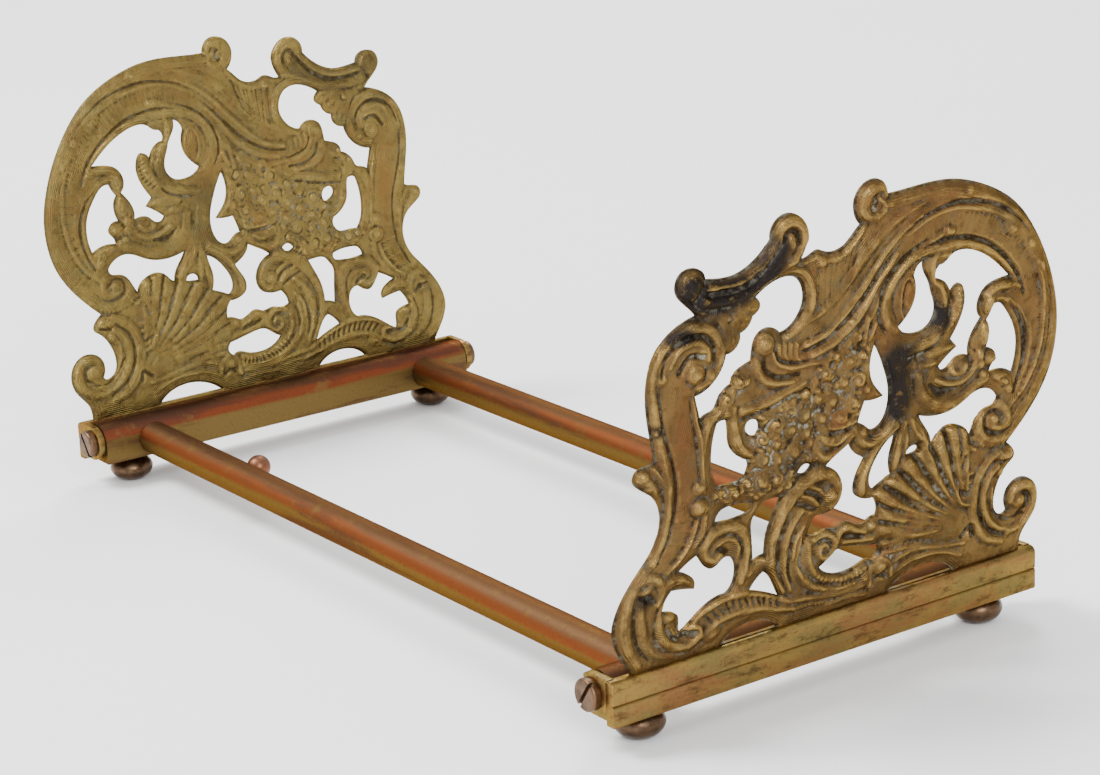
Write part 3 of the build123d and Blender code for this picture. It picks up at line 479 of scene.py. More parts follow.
def right_scroll():
    ridge(1.4, (1.0, 1.5, 1.1), (58, 27), (51.8, 29.8), (48, 35), (46.9, 41), (48, 47.4), (51.4, 52),
          (56, 54.4))
    groove(1.1, (0.4, 0.6, 0.4), (59, 29), (53.4, 31.8), (49.9, 37), (49.1, 42.5), (50.6, 48), (54.6, 51.6))
    ridge(1.2, (0.8, 1.1, 0.8), (61, 29.8), (55.4, 32.6), (51.7, 37.4), (51, 42.5), (52.6, 47.4),
          (56, 50.2))
    ridge(0.9, (0.6, 0.8, 0.5), (62.6, 32.8), (57.4, 35), (54.4, 39.4), (54.1, 44))
    groove(1.1, (0.5, 0.8, 0.5), (66, 33.8), (60.6, 33.2), (56, 36), (53.2, 40.4))
    ridge(1.5, (0.9, 1.5, 1.2), (60, 29.2), (65.6, 30.6), (69.5, 34.6), (70, 39.2), (67, 42), (63, 41.4),
          (61.4, 38.6))
    groove(1.1, (0.5, 0.8, 0.5), (64, 34), (67, 35.8), (67.4, 38.8), (65.4, 40.2))
    dome(1.6, (63.9, 38), 2.3)
    dome(1.9, (58.4, 53.2), (3.2, 2.0))
    groove(1.0, 0.7, (57, 50.8), (60.6, 51.4))
    dome(1.1, (57, 48), 1.5)


def trunk_and_leaves():
    for k in range(7):
        ridge(0.7, (0.3, 0.6, 0.3), (13.5 + 1.6 * k, 95.5 - 0.9 * k), (17 + 0.7 * k, 86), (19 + 0.6 * k, 76))
    ridge(1.4, (1.0, 1.6, 1.0), (21, 90.4), (27, 91.6), (31.3, 93.6), (33.3, 98), (33.6, 103), (32.4, 107))
    groove(0.8, (0.3, 0.5, 0.3), (22, 88.8), (28, 89.8), (33, 92.4), (35.6, 97), (36, 102))
    ridge(1.2, (0.6, 1.1, 0.9), (31, 116), (29.6, 113.6), (29.7, 110.4), (31.6, 107.4))
    ridge(1.0, (0.4, 0.8, 0.8), (31, 114.8), (33.4, 115.2), (35.6, 114.6))
    ridge(1.4, (1.3, 1.5, 1.0), (34.6, 94.6), (37.6, 98), (39.7, 101.8), (40, 104.4))
    comb(0.3, 0.25, 8, [(35.4, 95), (38.4, 99.6), (39, 104)], [(37.4, 93.6), (40.6, 98), (41, 103)])
    ridge(1.1, (1.6, 1.4, 0.3), (29, 88.6), (34.6, 89), (38.6, 88.4))
    ridge(1.0, (1.2, 1.1, 0.3), (26, 86), (30.6, 85.6), (34, 84.2))
    ridge(1.6, (1.4, 2.1, 1.2), (25.4, 83.4), (26.8, 77.6), (31, 73.8), (36.5, 72.3), (42, 73.2),
          (46.6, 76), (51, 77.3))
    groove(1.4, (0.6, 1.3, 0.6), (29.6, 79.6), (33.4, 76.8), (38.4, 76.9))
    ridge(1.3, (0.7, 1.0, 0.8), (31.6, 80.8), (36, 78.6), (41, 78.5), (45, 80.6), (46, 83.4))
    ridge(1.3, (0.8, 1.0, 0.6), (46, 83.4), (44, 85.4), (40.2, 85.4), (37.8, 83.6), (38.2, 81.2),
          (41, 80.6), (42.8, 82.4))
    dome(1.5, (51.8, 82.4), (2.8, 1.9))
    dome(1.3, (47.4, 81.8), 1.6)
    dome(1.2, (48.6, 78.6), 1.3)
    ridge(1.3, (1.2, 1.6, 1.3), (50, 78), (54, 77.2), (57.2, 75.2), (58.6, 72.2))
    groove(0.7, 0.4, (55, 75.8), (57.4, 76), (58.2, 74), (56.6, 73.2))
    for centre, radii, turn in (((50.1, 98.6), (1.9, 3.0), -12), ((48.9, 90), (2.0, 3.5), -8),
                                ((47.2, 84.6), (1.6, 1.8), 0)):
        dome(1.6, centre, radii, turn)
    ridge(1.3, (1.2, 1.4, 0.8), (49.6, 100.6), (52.4, 102.4), (56, 102.8), (61, 101.4))
    ridge(1.0, (0.8, 0.9, 0.3), (52.6, 99.4), (56.4, 98.2), (60, 95.4))
    ridge(1.0, (0.9, 1.8, 0.7), (9.6, 97), (7.6, 91), (9, 85.4), (12.6, 81.2))


def straps():
    ridge(1.4, (1.1, 1.1, 1.0), (7.2, 53.6), (7, 58), (9.4, 63), (13.6, 67.6), (18.6, 70.6))
    groove(0.5, 0.3, (8.2, 56), (9.6, 61), (13.6, 65.6))
    ridge(1.4, (1.3, 1.2, 1.0), (4.8, 73), (6, 69.6), (9, 67.6), (13.6, 69), (18, 72.4))
    dome(1.5, (6.8, 71.6), (2.6, 2.2))
    ridge(1.2, (1.0, 1.1, 0.9), (17.9, 56.8), (18.8, 61.4), (19.8, 66.6), (21.4, 71))
    ridge(1.2, (1.0, 1.4, 1.0), (23.4, 71), (26.6, 66.8), (30, 62.6))
    ridge(1.0, (0.6, 0.9, 0.6), (21.6, 70), (21.8, 65), (22.2, 61.4))
    groove(0.7, 0.35, (24.6, 70), (27.6, 65.6))


BOUQUET = [(4.2, 98.2, 1.8), (6, 92.6, 2), (1.4, 92.2, 2.2), (-3, 95, 2), (-7, 90.8, 2.3), (4.6, 86.4, 2.3),
           (0, 86.8, 2.4), (-3.6, 82.4, 2.5), (2.8, 80.6, 2.4), (-8.6, 84.2, 2.6), (-12.8, 87, 2.2),
           (-1.6, 77.4, 2.4), (-7.2, 78.2, 2.5), (-12.8, 81, 2.6), (-18, 83.4, 2.3), (-11.8, 75.4, 2.4),
           (-17.4, 77.6, 2.6), (-22.8, 80.4, 2.4), (-22, 75, 2.5), (-27, 77.4, 2.3), (-16.2, 71.4, 2.5),
           (-21.2, 70.2, 2.4), (-26.6, 71.6, 2.5), (-12.4, 68.6, 2.2), (-17.2, 66.2, 2.3),
           (-22.2, 65.4, 2.3), (-27.2, 66.2, 2.4), (-31.6, 66.2, 2), (-36, 64.8, 2.2), (-39.4, 65.4, 1.6),
           (-34.6, 94.6, 2.6), (-38.4, 90.8, 2.4), (-6.6, 73, 1.9), (-31, 70, 1.8), (-18.8, 62.6, 1.8)]


def bouquet():
    groove(0.9, (3, 9, 4), (4, 96), (-2, 84), (-14, 75), (-28, 68))
    crumbs(40, (-12, 79), (26, 13), 42)
    crumbs(12, (-26, 69), (12, 6))
    crumbs(10, (1, 93), (6, 10))
    for k, (u, v, r) in enumerate(BOUQUET):
        rose(u, v, (0.78 + 0.2 * (k % 3)) * r, 0.9 * k)
    ridge(1.5, (1.2, 1.7, 1.1), (-36.6, 88), (-36.2, 82), (-34.2, 76.6), (-30.6, 73.6))
    ridge(1.2, (1.2, 1.5, 0.8), (-33.6, 86.6), (-28, 86.6), (-20.5, 88.4), (-13.4, 90))
    groove(0.9, 0.6, (-34, 84), (-28.6, 84.6), (-21, 86.2), (-15, 88))
    dome(1.4, (-38, 87), 1.5)
    ridge(1.4, (1.1, 1.5, 1.1), (-9, 71), (-7.6, 68), (-3.6, 66.9), (0.8, 68.4), (3.2, 71.6))
    ridge(1.1, 0.6, (-6, 71.4), (-2, 70.4), (1.6, 72))
    groove(1.1, 0.8, (-8, 74.4), (-3, 73.4), (2, 73.6))
    ridge(1.3, 0.8, (-7, 75.8), (-1, 74.8), (4, 75.4))
    for a, b in (((10, 101), (8, 97)), ((7.4, 103), (6.2, 96)), ((3, 100), (0, 97))):
        ridge(1.1, 0.7, a, b)


for draw in (big_scroll, lower_volute, top_curl, sash, top_volute, shoulder, s_scroll, leaf_cluster,
             column, column_foot, base_strip, small_curl, big_acanthus, ribbon_and_spiral,
             lower_knot, shell, right_scroll, trunk_and_leaves, straps, bouquet):
    draw()


# ---------------------------------------------------------------- outline from the CAD casting
EDGE_STEP = 0.55             # spacing of the points round the outline
CORNER = 30.0                # degrees; a sharper turn stays a corner
ROOT = 1.4                   # how far the plate goes down into the bar
SNAP = 0.15                  # outline points lower than this above the bar belong to the root
BAR_DEPTH_IN, BAR_DEPTH_OUT = 6.2, 9.6       # faces of the bar, out from the pivot
FACING = 0.9999              # cosine within which a CAD face is parallel to the plate
REACH = 7.0                  # how deep inside the outline the distance to the edge is kept
SURE = 0.6                   # this far from the outline, the raster alone says what is inside


def casting_mesh(node):
    """Points in millimetres, face normals and faces of a casting, and its plate's outward normal."""
    mesh = frame["nodes"][node].data
    points = np.array([v.co for v in mesh.vertices]) / MM
    normals = np.array([p.normal for p in mesh.polygons])
    areas = np.array([p.area for p in mesh.polygons])
    leaning = (normals[:, 0] > 0.9) & (normals[:, 2] < -0.02)
    normal = (normals[leaning] * areas[leaning, None]).sum(0)
    return points, normals, [tuple(p.vertices) for p in mesh.polygons], normal / np.linalg.norm(normal)


def mean_level(faces):
    return np.mean([cad_points[list(f)] @ OUT for f in faces])


joints = {joint["name"]: joint for joint in frame["joints"]}
PIVOT_AT = np.array(joints["right_plate_fold"]["pos_m"]) / MM
cad_points, cad_normals, cad_faces, OUT = casting_mesh("right_end_plate")
LEAN = math.asin(-OUT[2])
ACROSS = np.array([0.0, 1.0, 0.0])
UP = np.array([math.sin(LEAN), 0.0, math.cos(LEAN)])
BAR_LOW, BAR_TOP = cad_points[:, 2].min(), 21.2
BAR_IN, BAR_OUT = PIVOT_AT[0] + BAR_DEPTH_IN, PIVOT_AT[0] + BAR_DEPTH_OUT
outer_faces = [f for f, n in zip(cad_faces, cad_normals) if n @ OUT > FACING]
inner_level = mean_level([f for f, n in zip(cad_faces, cad_normals) if n @ OUT < -FACING])
ORIGIN = OUT * inner_level + UP * (BAR_TOP - OUT[2] * inner_level) / UP[2]


def outline_loops(faces):
    """Closed loops round a set of faces, in casting millimetres (width, height)."""
    count = {}
    for f in faces:
        corners = [tuple(np.round(cad_points[i], 3)) for i in f]
        for edge in zip(corners, corners[1:] + corners[:1]):
            count[edge] = count.get(edge, 0) + 1
    links = {a: b for a, b in count if (b, a) not in count}
    flat = []
    while links:
        start, point = next(iter(links.items()))
        loop = [start]
        del links[start]
        while point != start:
            loop.append(point)
            point = links.pop(point)
        loop = np.array(loop)
        flat.append(np.stack([loop @ ACROSS, (loop - ORIGIN) @ UP + BAR_TOP], 1))
    return flat


def even_loop(loop):
    """The loop again with even points: smooth between its sharp corners."""
    ahead, back = np.roll(loop, -1, 0) - loop, loop - np.roll(loop, 1, 0)
    ratio = (ahead[:, 0] + 1j * ahead[:, 1]) / (back[:, 0] + 1j * back[:, 1])
    sharp = np.flatnonzero(np.degrees(np.abs(np.angle(ratio))) > CORNER)
    if len(sharp) == 0:
        sharp = np.array([0])
    out = []
    for a, b in zip(sharp, np.r_[sharp[1:], sharp[0] + len(loop)]):
        part = loop[np.arange(a, b + 1) % len(loop)]
        line = curve(part, EDGE_STEP / 3) if len(part) > 2 else part
        run = np.r_[0, np.cumsum(np.hypot(*np.diff(line, axis=0).T))]
        count = max(1, int(round(run[-1] / EDGE_STEP)))
        at = np.linspace(0, run[-1], count, endpoint=False)
        out.append(np.stack([np.interp(at, run, line[:, 0]), np.interp(at, run, line[:, 1])], 1))
    return np.vstack(out)


loops = [even_loop(loop) for loop in outline_loops(outer_faces)]
for loop in loops:
    loop[loop[:, 1] < BAR_TOP + SNAP, 1] = BAR_TOP - ROOT
drawn_loops = [to_drawing(loop) for loop in loops]
edge_from = np.vstack(drawn_loops)
edge_to = np.vstack([np.roll(loop, -1, 0) for loop in drawn_loops])


def inside(points):
    """Even-odd test of drawing points against all outline edges."""
    result = np.zeros(len(points), bool)
    for a, b in zip(edge_from, edge_to):
        if a[1] == b[1]:
            continue
        crosses = (a[1] > points[:, 1]) != (b[1] > points[:, 1])
        result ^= crosses & (points[:, 0] < (b[0] - a[0]) * (points[:, 1] - a[1]) / (b[1] - a[1]) + a[0])
    return result


depth_in = np.full(SHAPE, REACH)             # distance to the outline, negative outside it
for loop in drawn_loops:
    area, dist, _ = nearest(np.vstack([loop, loop[:1]]), REACH)
    depth_in[area] = np.minimum(depth_in[area], dist)
grid_v, grid_u = np.meshgrid(rows, cols, indexing="ij")
solid = inside(np.stack([grid_u.ravel(), grid_v.ravel()], 1)).reshape(SHAPE)
depth_in[~solid] *= -1


def blur(field, radius):
    """Gaussian blur by separate rows and columns; radius in millimetres."""
    reach = int(3 * radius / PITCH) + 1
    kernel = np.exp(-0.5 * (np.arange(-reach, reach + 1) * PITCH / radius) ** 2)
    kernel /= kernel.sum()
    for axis in (0, 1):
        field = np.apply_along_axis(lambda x: np.convolve(x, kernel, "same"), axis, field)
    return field


def sample(field, points):
    """Bilinear value of a raster at drawing points."""
    x = np.clip((points[:, 0] - U0) / PITCH, 0, SHAPE[1] - 1.001)
    y = np.clip((points[:, 1] - V0) / PITCH, 0, SHAPE[0] - 1.001)
    i, j = y.astype(int), x.astype(int)
    fy, fx = y - i, x - j
    return ((field[i, j] * (1 - fx) + field[i, j + 1] * fx) * (1 - fy)
            + (field[i + 1, j] * (1 - fx) + field[i + 1, j + 1] * fx) * fy)


def roughness(size, height):
    """Smooth random field: features of about that size, and that height."""
    field = blur(chance.standard_normal(SHAPE), size)
    return height * field / field.std()


def rounded(distance, radius):
    """Quarter-round profile: 0 at the edge, 1 from that radius inward."""
    x = np.clip(distance / radius, 0, 1)
    return np.sqrt(1 - (1 - x) ** 2)


# ---------------------------------------------------------------- relief heights
SWELL_HEIGHT, SWELL_WIDTH = 1.3, 1.7         # the plate rises from its rim to its middle
ROOT_V, ROOT_RISE, ROOT_RELIEF = 21.5, 7.0, 0.55       # lower relief just above the bar
SKIN_FINE, SKIN_COARSE = (0.4, 0.028), (1.6, 0.06)     # uneven cast surface: size and height
LINE_PITCH, LINE_HEIGHT = 1.15, 0.07         # lines that follow the outline
LINE_FROM, LINE_TO, LINE_WANDER = 0.7, 5.5, (6.0, 0.25)
LINE_COVER, LINE_PATCHES = 0.6, (5.0, 0.6)
FORM_WAVES = (1.1, 0.14)
FORM_BLUR, CUT_BLUR, CUT_DEPTH = 0.2, 0.18, 0.95
INNER_SWELL, INNER_FORMS, INNER_CUTS, INNER_SKIN = 0.3, 0.50, 0.66, 0.8      # against the outer face
INNER_CUT_FROM, INNER_CUT_BLUR = 0.35, 0.15
INNER_MAX = 0.8                              # highest relief on the inner face
OUTER_BASE, OUTER_LEAST, RIM_LOW, RIM_HIGH = 0.9, 0.9, 0.35, 1.25
OUTER_ROUND, INNER_ROUND = 1.5, 1.1

near_edge = np.clip(depth_in, 0, None)
swell = SWELL_HEIGHT * (1 - np.exp(-near_edge / SWELL_WIDTH))
root_fade = np.clip((grid_v - ROOT_V) / ROOT_RISE, 0, 1)

cast_skin = roughness(*SKIN_FINE) + roughness(*SKIN_COARSE)
line_wave = np.cos(2 * math.pi * (near_edge + roughness(*LINE_WANDER)) / LINE_PITCH)
line_fade = np.clip((near_edge - LINE_FROM) / 0.5, 0, 1) * np.clip((LINE_TO - near_edge) / 2, 0, 1)
line_cover = np.clip(LINE_COVER + roughness(*LINE_PATCHES), 0.0, 1.4)
cast_skin = cast_skin + LINE_HEIGHT * line_wave * line_fade * line_cover
forms *= 1 + roughness(*FORM_WAVES)
soft_forms = blur(forms, FORM_BLUR)
ornament = soft_forms - CUT_DEPTH * blur(cuts, CUT_BLUR) + texture
body = swell + ornament * (ROOT_RELIEF + (1 - ROOT_RELIEF) * root_fade) + cast_skin

thin_cuts = blur(np.clip(cuts - INNER_CUT_FROM, 0, None), INNER_CUT_BLUR)
body_in = INNER_SWELL * swell + INNER_FORMS * soft_forms - INNER_CUTS * thin_cuts
body_in += texture + INNER_SKIN * cast_skin

fine = body - blur(body, 0.9)                # ridges above 0, recesses below
broad = body - blur(body, 3.0)
fine_in = body_in - blur(body_in, 0.8)

outer_height = RIM_HIGH + (OUTER_BASE + body - RIM_HIGH) * rounded(near_edge, OUTER_ROUND)
outer_height = np.maximum(outer_height, OUTER_LEAST)
inner_height = 0.05 - np.clip(body_in, -0.4, INNER_MAX)
inner_height = RIM_LOW + (inner_height - RIM_LOW) * rounded(near_edge, INNER_ROUND)


# ---------------------------------------------------------------- casting meshes
PLATE_SHARP = 70             # degrees; a sharper edge of the relief stays sharp
INNER_FINE, INNER_BROAD = 1.7, 1.5           # the shallow inner relief counts this much more


def triangulate(pitch):
    """Flat triangles that fill the outline: boundary points first, then a staggered grid."""
    edge = np.vstack(loops)
    low, high = edge.min(0), edge.max(0)
    points = []
    for k, v in enumerate(np.arange(low[1], high[1], pitch * math.sqrt(3) / 2)):
        u = np.arange(low[0] + (k % 2) * pitch / 2, high[0], pitch)
        points.append(np.stack([u, np.full(len(u), v)], 1))
    points = np.vstack(points)
    keep = sample(depth_in, to_drawing(points)) > 0.5 * pitch
    points = np.vstack([edge, points[keep]])
    links, first = [], 0
    for loop in loops:
        n = len(loop)
        links += [(first + k, first + (k + 1) % n) for k in range(n)]
        first += n
    verts, _, faces = delaunay_2d_cdt([Vector(p) for p in points], links, [], 0, 1e-6)[:3]
    verts = np.array([tuple(v) for v in verts])
    faces = np.array([tuple(f) for f in faces])
    middle = to_drawing(verts[faces].mean(1))
    depth = sample(depth_in, middle)
    good, close = depth > 0, np.abs(depth) < SURE
    good[close] = inside(middle[close])
    faces = faces[good]
    a, b, c = (verts[faces[:, k]] for k in range(3))
    flip = np.cross(b - a, c - a) < 0
    faces[flip] = faces[flip][:, ::-1]
    return verts, faces


def place(flat, level):
    """Casting millimetres and a level above the inner face, as metres at the right end."""
    height = (flat[:, 1] - BAR_TOP)[:, None]
    return (ORIGIN + flat[:, :1] * ACROSS + height * UP + np.asarray(level)[:, None] * OUT) * MM


def half_turn(points):
    return points * [-1, -1, 1]


def mesh_object(name, verts, faces, sharp=35):
    """Smooth-shaded object; edges that turn more than that many degrees stay sharp."""
    mesh = bpy.data.meshes.new(name)
    mesh.from_pydata([tuple(v) for v in verts], [], [tuple(f) for f in faces])
    mesh.validate()
    mesh.shade_smooth()
    mesh.set_sharp_from_angle(angle=math.radians(sharp))
    obj = bpy.data.objects.new(name, mesh)
    bpy.context.scene.collection.objects.link(obj)
    return obj


def turn_outward(obj):
    bm = bmesh.new()
    bm.from_mesh(obj.data)
    bmesh.ops.recalc_face_normals(bm, faces=bm.faces)
    bm.to_mesh(obj.data)
    bm.free()


def scrollwork(name, outer_pitch, inner_pitch, turned):
    """One pierced plate with relief on both faces, and the fields that its material reads."""
    out_flat, out_faces = triangulate(outer_pitch)
    in_flat, in_faces = triangulate(inner_pitch)
    out_drawn, in_drawn = to_drawing(out_flat), to_drawing(in_flat)
    count = len(edge_from)
    top = place(out_flat, sample(outer_height, out_drawn))
    top[:count] = place(out_flat[:count], np.full(count, RIM_HIGH))
    bottom = place(in_flat, sample(inner_height, in_drawn))
    bottom[:count] = place(in_flat[:count], np.full(count, RIM_LOW))
    verts = np.vstack([top, bottom])
    shift = len(top)
    faces = [tuple(f) for f in out_faces] + [tuple(f[::-1] + shift) for f in in_faces]
    first = 0
    for loop in loops:
        n = len(loop)
        for k in range(n):
            a, b = first + k, first + (k + 1) % n
            faces.append((b, a, a + shift, b + shift))
        first += n
    obj = mesh_object(name, half_turn(verts) if turned else verts, faces, PLATE_SHARP)
    turn_outward(obj)
    drawn = np.vstack([out_drawn, in_drawn])
    fields = {
        "fine": np.r_[sample(fine, out_drawn), INNER_FINE * sample(fine_in, in_drawn)],
        "broad": np.r_[sample(broad, out_drawn), INNER_BROAD * sample(fine_in, in_drawn)],
        "edge": sample(near_edge, drawn),
        "black": spots(drawn, BLACK_PATCHES),
        "pale": spots(drawn, PALE_DEPOSIT),
        "red": spots(drawn, RED_PATCHES),
    }
    for field, values in fields.items():
        attribute = obj.data.attributes.new(field, "FLOAT", "POINT")
        attribute.data.foreach_set("value", np.asarray(values, np.float32))
    return obj


# ---------------------------------------------------------------- patina patches
# Soft patches on the casting, in drawing millimetres: (u, v, radius u, radius v, strength).
BLACK_PATCHES = [(-49, 121, 6, 6, 1.0), (-41, 118, 6, 4, 1.0), (-33, 119, 6, 4, 0.9), (-25, 123, 5, 5, 0.9),
                 (-21, 128, 4, 4, 0.6), (-53, 110, 7, 3, 0.8), (-60, 97, 3, 5, 0.4), (-60, 87, 2.4, 2.4, 0.8),
                 (17, 84, 4.5, 11, 1.0), (33, 98, 3.4, 5, 1.0), (24, 89, 6, 4, 0.6), (27, 82, 4, 4, 0.5),
                 (-64, 42, 5, 3, 0.7), (-16, 68, 6, 4, 0.6), (20, 76, 4, 5, 0.6), (53, 124, 8, 2, 0.5),
                 (27, 130, 4, 1.6, 0.5), (64, 87, 2.5, 10, 0.5), (-39, 108, 5, 5, 0.5), (35, 77, 6, 3, 0.5)]
RED_PATCHES = [(-52, 80, 4, 16, 1.0), (27, 129, 22, 5, 0.5), (21, 106, 3, 6, 0.9), (14, 97, 6, 5, 0.6),
               (-2, 77, 3, 3, 1.0), (-14, 96, 12, 5, 0.4), (66, 95, 5, 16, 0.3)]
PALE_DEPOSIT = [(-12, 80, 16, 12, 1.0), (-28, 74, 8, 8, 0.8), (2, 95, 6, 8, 0.6), (35, 50, 16, 12, 0.6),
                (-46, 104, 4, 4, 0.9), (-10, 45, 12, 12, 0.5), (0, 24, 60, 2.4, 1.0), (-54, 30, 9, 5, 0.7),
                (24, 88, 6, 4, 0.6), (17, 33, 10, 5, 0.7), (-36, 92, 5, 5, 0.6), (-37, 66, 6, 3, 0.7),
                (-27, 121, 6, 3, 0.5), (9, 132, 2.5, 2.5, 0.8), (10, 107, 3, 8, 0.6), (-30, 42, 6, 6, 0.4)]


def spots(drawn, places):
    """How strongly the patches cover each drawing point, from 0 to 1."""
    total = np.zeros(len(drawn))
    for u, v, ru, rv, strength in places:
        d = ((drawn[:, 0] - u) / ru) ** 2 + ((drawn[:, 1] - v) / rv) ** 2
        total += strength * np.exp(-d)
    return np.clip(total, 0, 1)


# ---------------------------------------------------------------- materials
CAST_SHEEN = (0.82, 0.67, 0.45, 1.0)         # reflection at a glancing angle
DRAWN_SHEEN = (0.50, 0.34, 0.28, 1.0)
SOOT = (0.018, 0.015, 0.014)
DUST = (0.17, 0.16, 0.12)
DIRT = (0.05, 0.03, 0.02)
SPECK = (0.58, 0.72)                         # noise levels between which a speck fades in


def gray(value):
    return (value, value, value)


def darker(color, k):
    return tuple(k * c for c in color)


class Paint:
    """A procedural material, built from noise, the mesh attributes and the surface slope."""

    def __init__(self, name):
        self.material = bpy.data.materials.new(name)
        self.material.use_nodes = True
        self.tree = self.material.node_tree
        self.shader = self.tree.nodes["Principled BSDF"]
        self.where = self.node("ShaderNodeTexCoord").outputs["Object"]

    def node(self, kind, **settings):
        made = self.tree.nodes.new(kind)
        for key, value in settings.items():
            setattr(made, key, value)
        return made

    def feed(self, socket, value):
        if isinstance(value, bpy.types.NodeSocket):
            self.tree.links.new(value, socket)
        else:
            socket.default_value = value

    def noise(self, scale, detail=3.0, roughness=0.55, stretch=(1, 1, 1)):
        """Noise with about that many features per metre, from 0 to 1."""
        mapping = self.node("ShaderNodeMapping")
        mapping.inputs["Scale"].default_value = stretch
        self.feed(mapping.inputs["Vector"], self.where)
        made = self.node("ShaderNodeTexNoise")
        self.feed(made.inputs["Vector"], mapping.outputs[0])
        for key, value in (("Scale", scale), ("Detail", detail), ("Roughness", roughness)):
            made.inputs[key].default_value = value
        return made.outputs["Fac"]

    def attribute(self, name):
        return self.node("ShaderNodeAttribute", attribute_name=name).outputs["Fac"]

    def slope(self):
        """Upward part of the surface normal, from -1 to 1."""
        split = self.node("ShaderNodeSeparateXYZ")
        self.feed(split.inputs[0], self.node("ShaderNodeNewGeometry").outputs["Normal"])
        return split.outputs["Z"]

    def ramp(self, value, low, high, out_low=0.0, out_high=1.0):
        made = self.node("ShaderNodeMapRange", interpolation_type="SMOOTHSTEP")
        for socket, x in zip(made.inputs, (value, low, high, out_low, out_high)):
            self.feed(socket, x)
        return made.outputs[0]

    def maths(self, operation, a, b=0.0):
        made = self.node("ShaderNodeMath", operation=operation)
        self.feed(made.inputs[0], a)
        self.feed(made.inputs[1], b)
        return made.outputs[0]

    def times(self, a, b):
        return self.maths("MULTIPLY", a, b)

    def plus(self, a, b):
        return self.maths("ADD", a, b)

    def mix(self, factor, a, b):
        made = self.node("ShaderNodeMix", data_type="RGBA")
        self.feed(made.inputs["Factor"], factor)
        for socket, value in zip([s for s in made.inputs if s.type == "RGBA"], (a, b)):
            self.feed(socket, value if isinstance(value, bpy.types.NodeSocket) else (*value, 1.0))
        return next(s for s in made.outputs if s.type == "RGBA")

    def blotches(self, color, other, scale, fade, amount=1.0, detail=4, roughness=0.7, stretch=(1, 1, 1)):
        """The color, with patches of the other one where the noise rises through the fade levels."""
        where = self.noise(scale, detail, roughness, stretch)
        return self.mix(self.ramp(where, *fade, 0.0, amount), color, other)

    def bump(self, height, distance, strength):
        made = self.node("ShaderNodeBump")
        self.feed(made.inputs["Height"], height)
        made.inputs["Distance"].default_value = distance
        made.inputs["Strength"].default_value = strength
        self.feed(self.shader.inputs["Normal"], made.outputs[0])

    def finish(self, color, roughness, metallic=1.0):
        self.feed(self.shader.inputs["Base Color"], color)
        self.feed(self.shader.inputs["Roughness"], roughness)
        self.feed(self.shader.inputs["Metallic"], metallic)
        return self.material


def cast_metal(name, high, low, bright, dark, red, powder_color, patina):
    """Aged cast brass: worn bright ridges, dark recesses, black patches and pale deposit."""
    p = Paint(name)
    blotch = p.noise(75, 4)
    grain = p.noise(1000, 3, 0.7)
    olive = (1.02 * low[0], 1.25 * low[1], 1.5 * low[2])
    color = p.mix(p.ramp(blotch, 0.36, 0.62), low, high)
    color = p.blotches(color, darker(low, 0.55), 330, (0.50, 0.66), 0.6)
    color = p.blotches(color, red, 140, (0.52, 0.68), 0.5)
    color = p.blotches(color, olive, 100, (0.52, 0.66), 0.55, stretch=(1, 1, 1.4))

    height = p.plus(p.attribute("fine"), p.times(p.maths("SUBTRACT", grain, 0.5), 0.2))
    worn = p.ramp(height, 0.08, 0.36)
    recess = p.ramp(height, -0.01, -0.26)
    deep = p.times(p.ramp(p.attribute("broad"), -0.12, -0.9), 0.7)
    color = p.mix(p.times(p.attribute("red"), p.ramp(blotch, 0.3, 0.6, 0.3, 0.9)), color, red)
    color = p.mix(p.times(worn, 0.42), color, bright)
    color = p.mix(p.maths("MAXIMUM", p.times(recess, 0.9), deep), color, dark)

    black = p.times(p.ramp(p.attribute("black"), 0.15, 0.75), p.ramp(p.noise(220, 4, 0.7), 0.30, 0.44))
    black = p.times(p.times(black, p.ramp(height, 0.75, 0.30)), patina)
    color = p.mix(black, color, SOOT)
    powder = p.times(p.maths("MAXIMUM", p.attribute("pale"), 0.28), p.maths("MAXIMUM", recess, deep))
    powder = p.times(powder, p.ramp(p.noise(380, 4, 0.75), 0.42, 0.64))
    color = p.mix(powder, color, powder_color)

    rough = p.mix(worn, gray(0.42), gray(0.22))
    rough = p.mix(p.maths("MAXIMUM", p.times(recess, 0.8), powder), rough, gray(0.75))
    lines = p.maths("SINE", p.times(p.attribute("edge"), 2 * math.pi / 0.62))
    lines = p.times(lines, p.ramp(p.noise(120, 2), 0.45, 0.65, 0.0, 0.4))
    p.bump(p.plus(p.plus(grain, lines), p.noise(2400, 2)), 0.00016, 0.9)
    p.shader.inputs["Specular Tint"].default_value = CAST_SHEEN
    return p.finish(color, rough, p.maths("SUBTRACT", 1.0, p.times(powder, 0.95)))


def bar_metal(name, front, copper, olive, dark):
    """Base bar: brushed along its length and mottled, with dust on the ledge."""
    p = Paint(name)
    along = (1, 0.3, 1)
    speck = p.noise(800, 3, 0.7)
    color = p.blotches(front, copper, 130, (0.42, 0.60), 1.0, 5, stretch=along)
    color = p.blotches(color, olive, 170, (0.46, 0.60), 0.85, 5, stretch=along)
    color = p.blotches(color, dark, 300, (0.50, 0.66), 0.75, 5, 0.75, along)
    color = p.mix(p.ramp(speck, *SPECK, 0.0, 0.45), color, dark)
    ledge = p.times(p.ramp(p.slope(), 0.90, 0.99), p.ramp(p.noise(190, 4, 0.7), 0.46, 0.62))
    color = p.mix(p.times(ledge, 0.35), color, DUST)
    p.bump(p.plus(p.noise(1300, 3), p.noise(420, 2, 0.5, (1, 0.05, 1))), 0.00016, 0.8)
    p.shader.inputs["Specular Tint"].default_value = CAST_SHEEN
    return p.finish(color, p.ramp(speck, 0.3, 0.7, 0.30, 0.48))


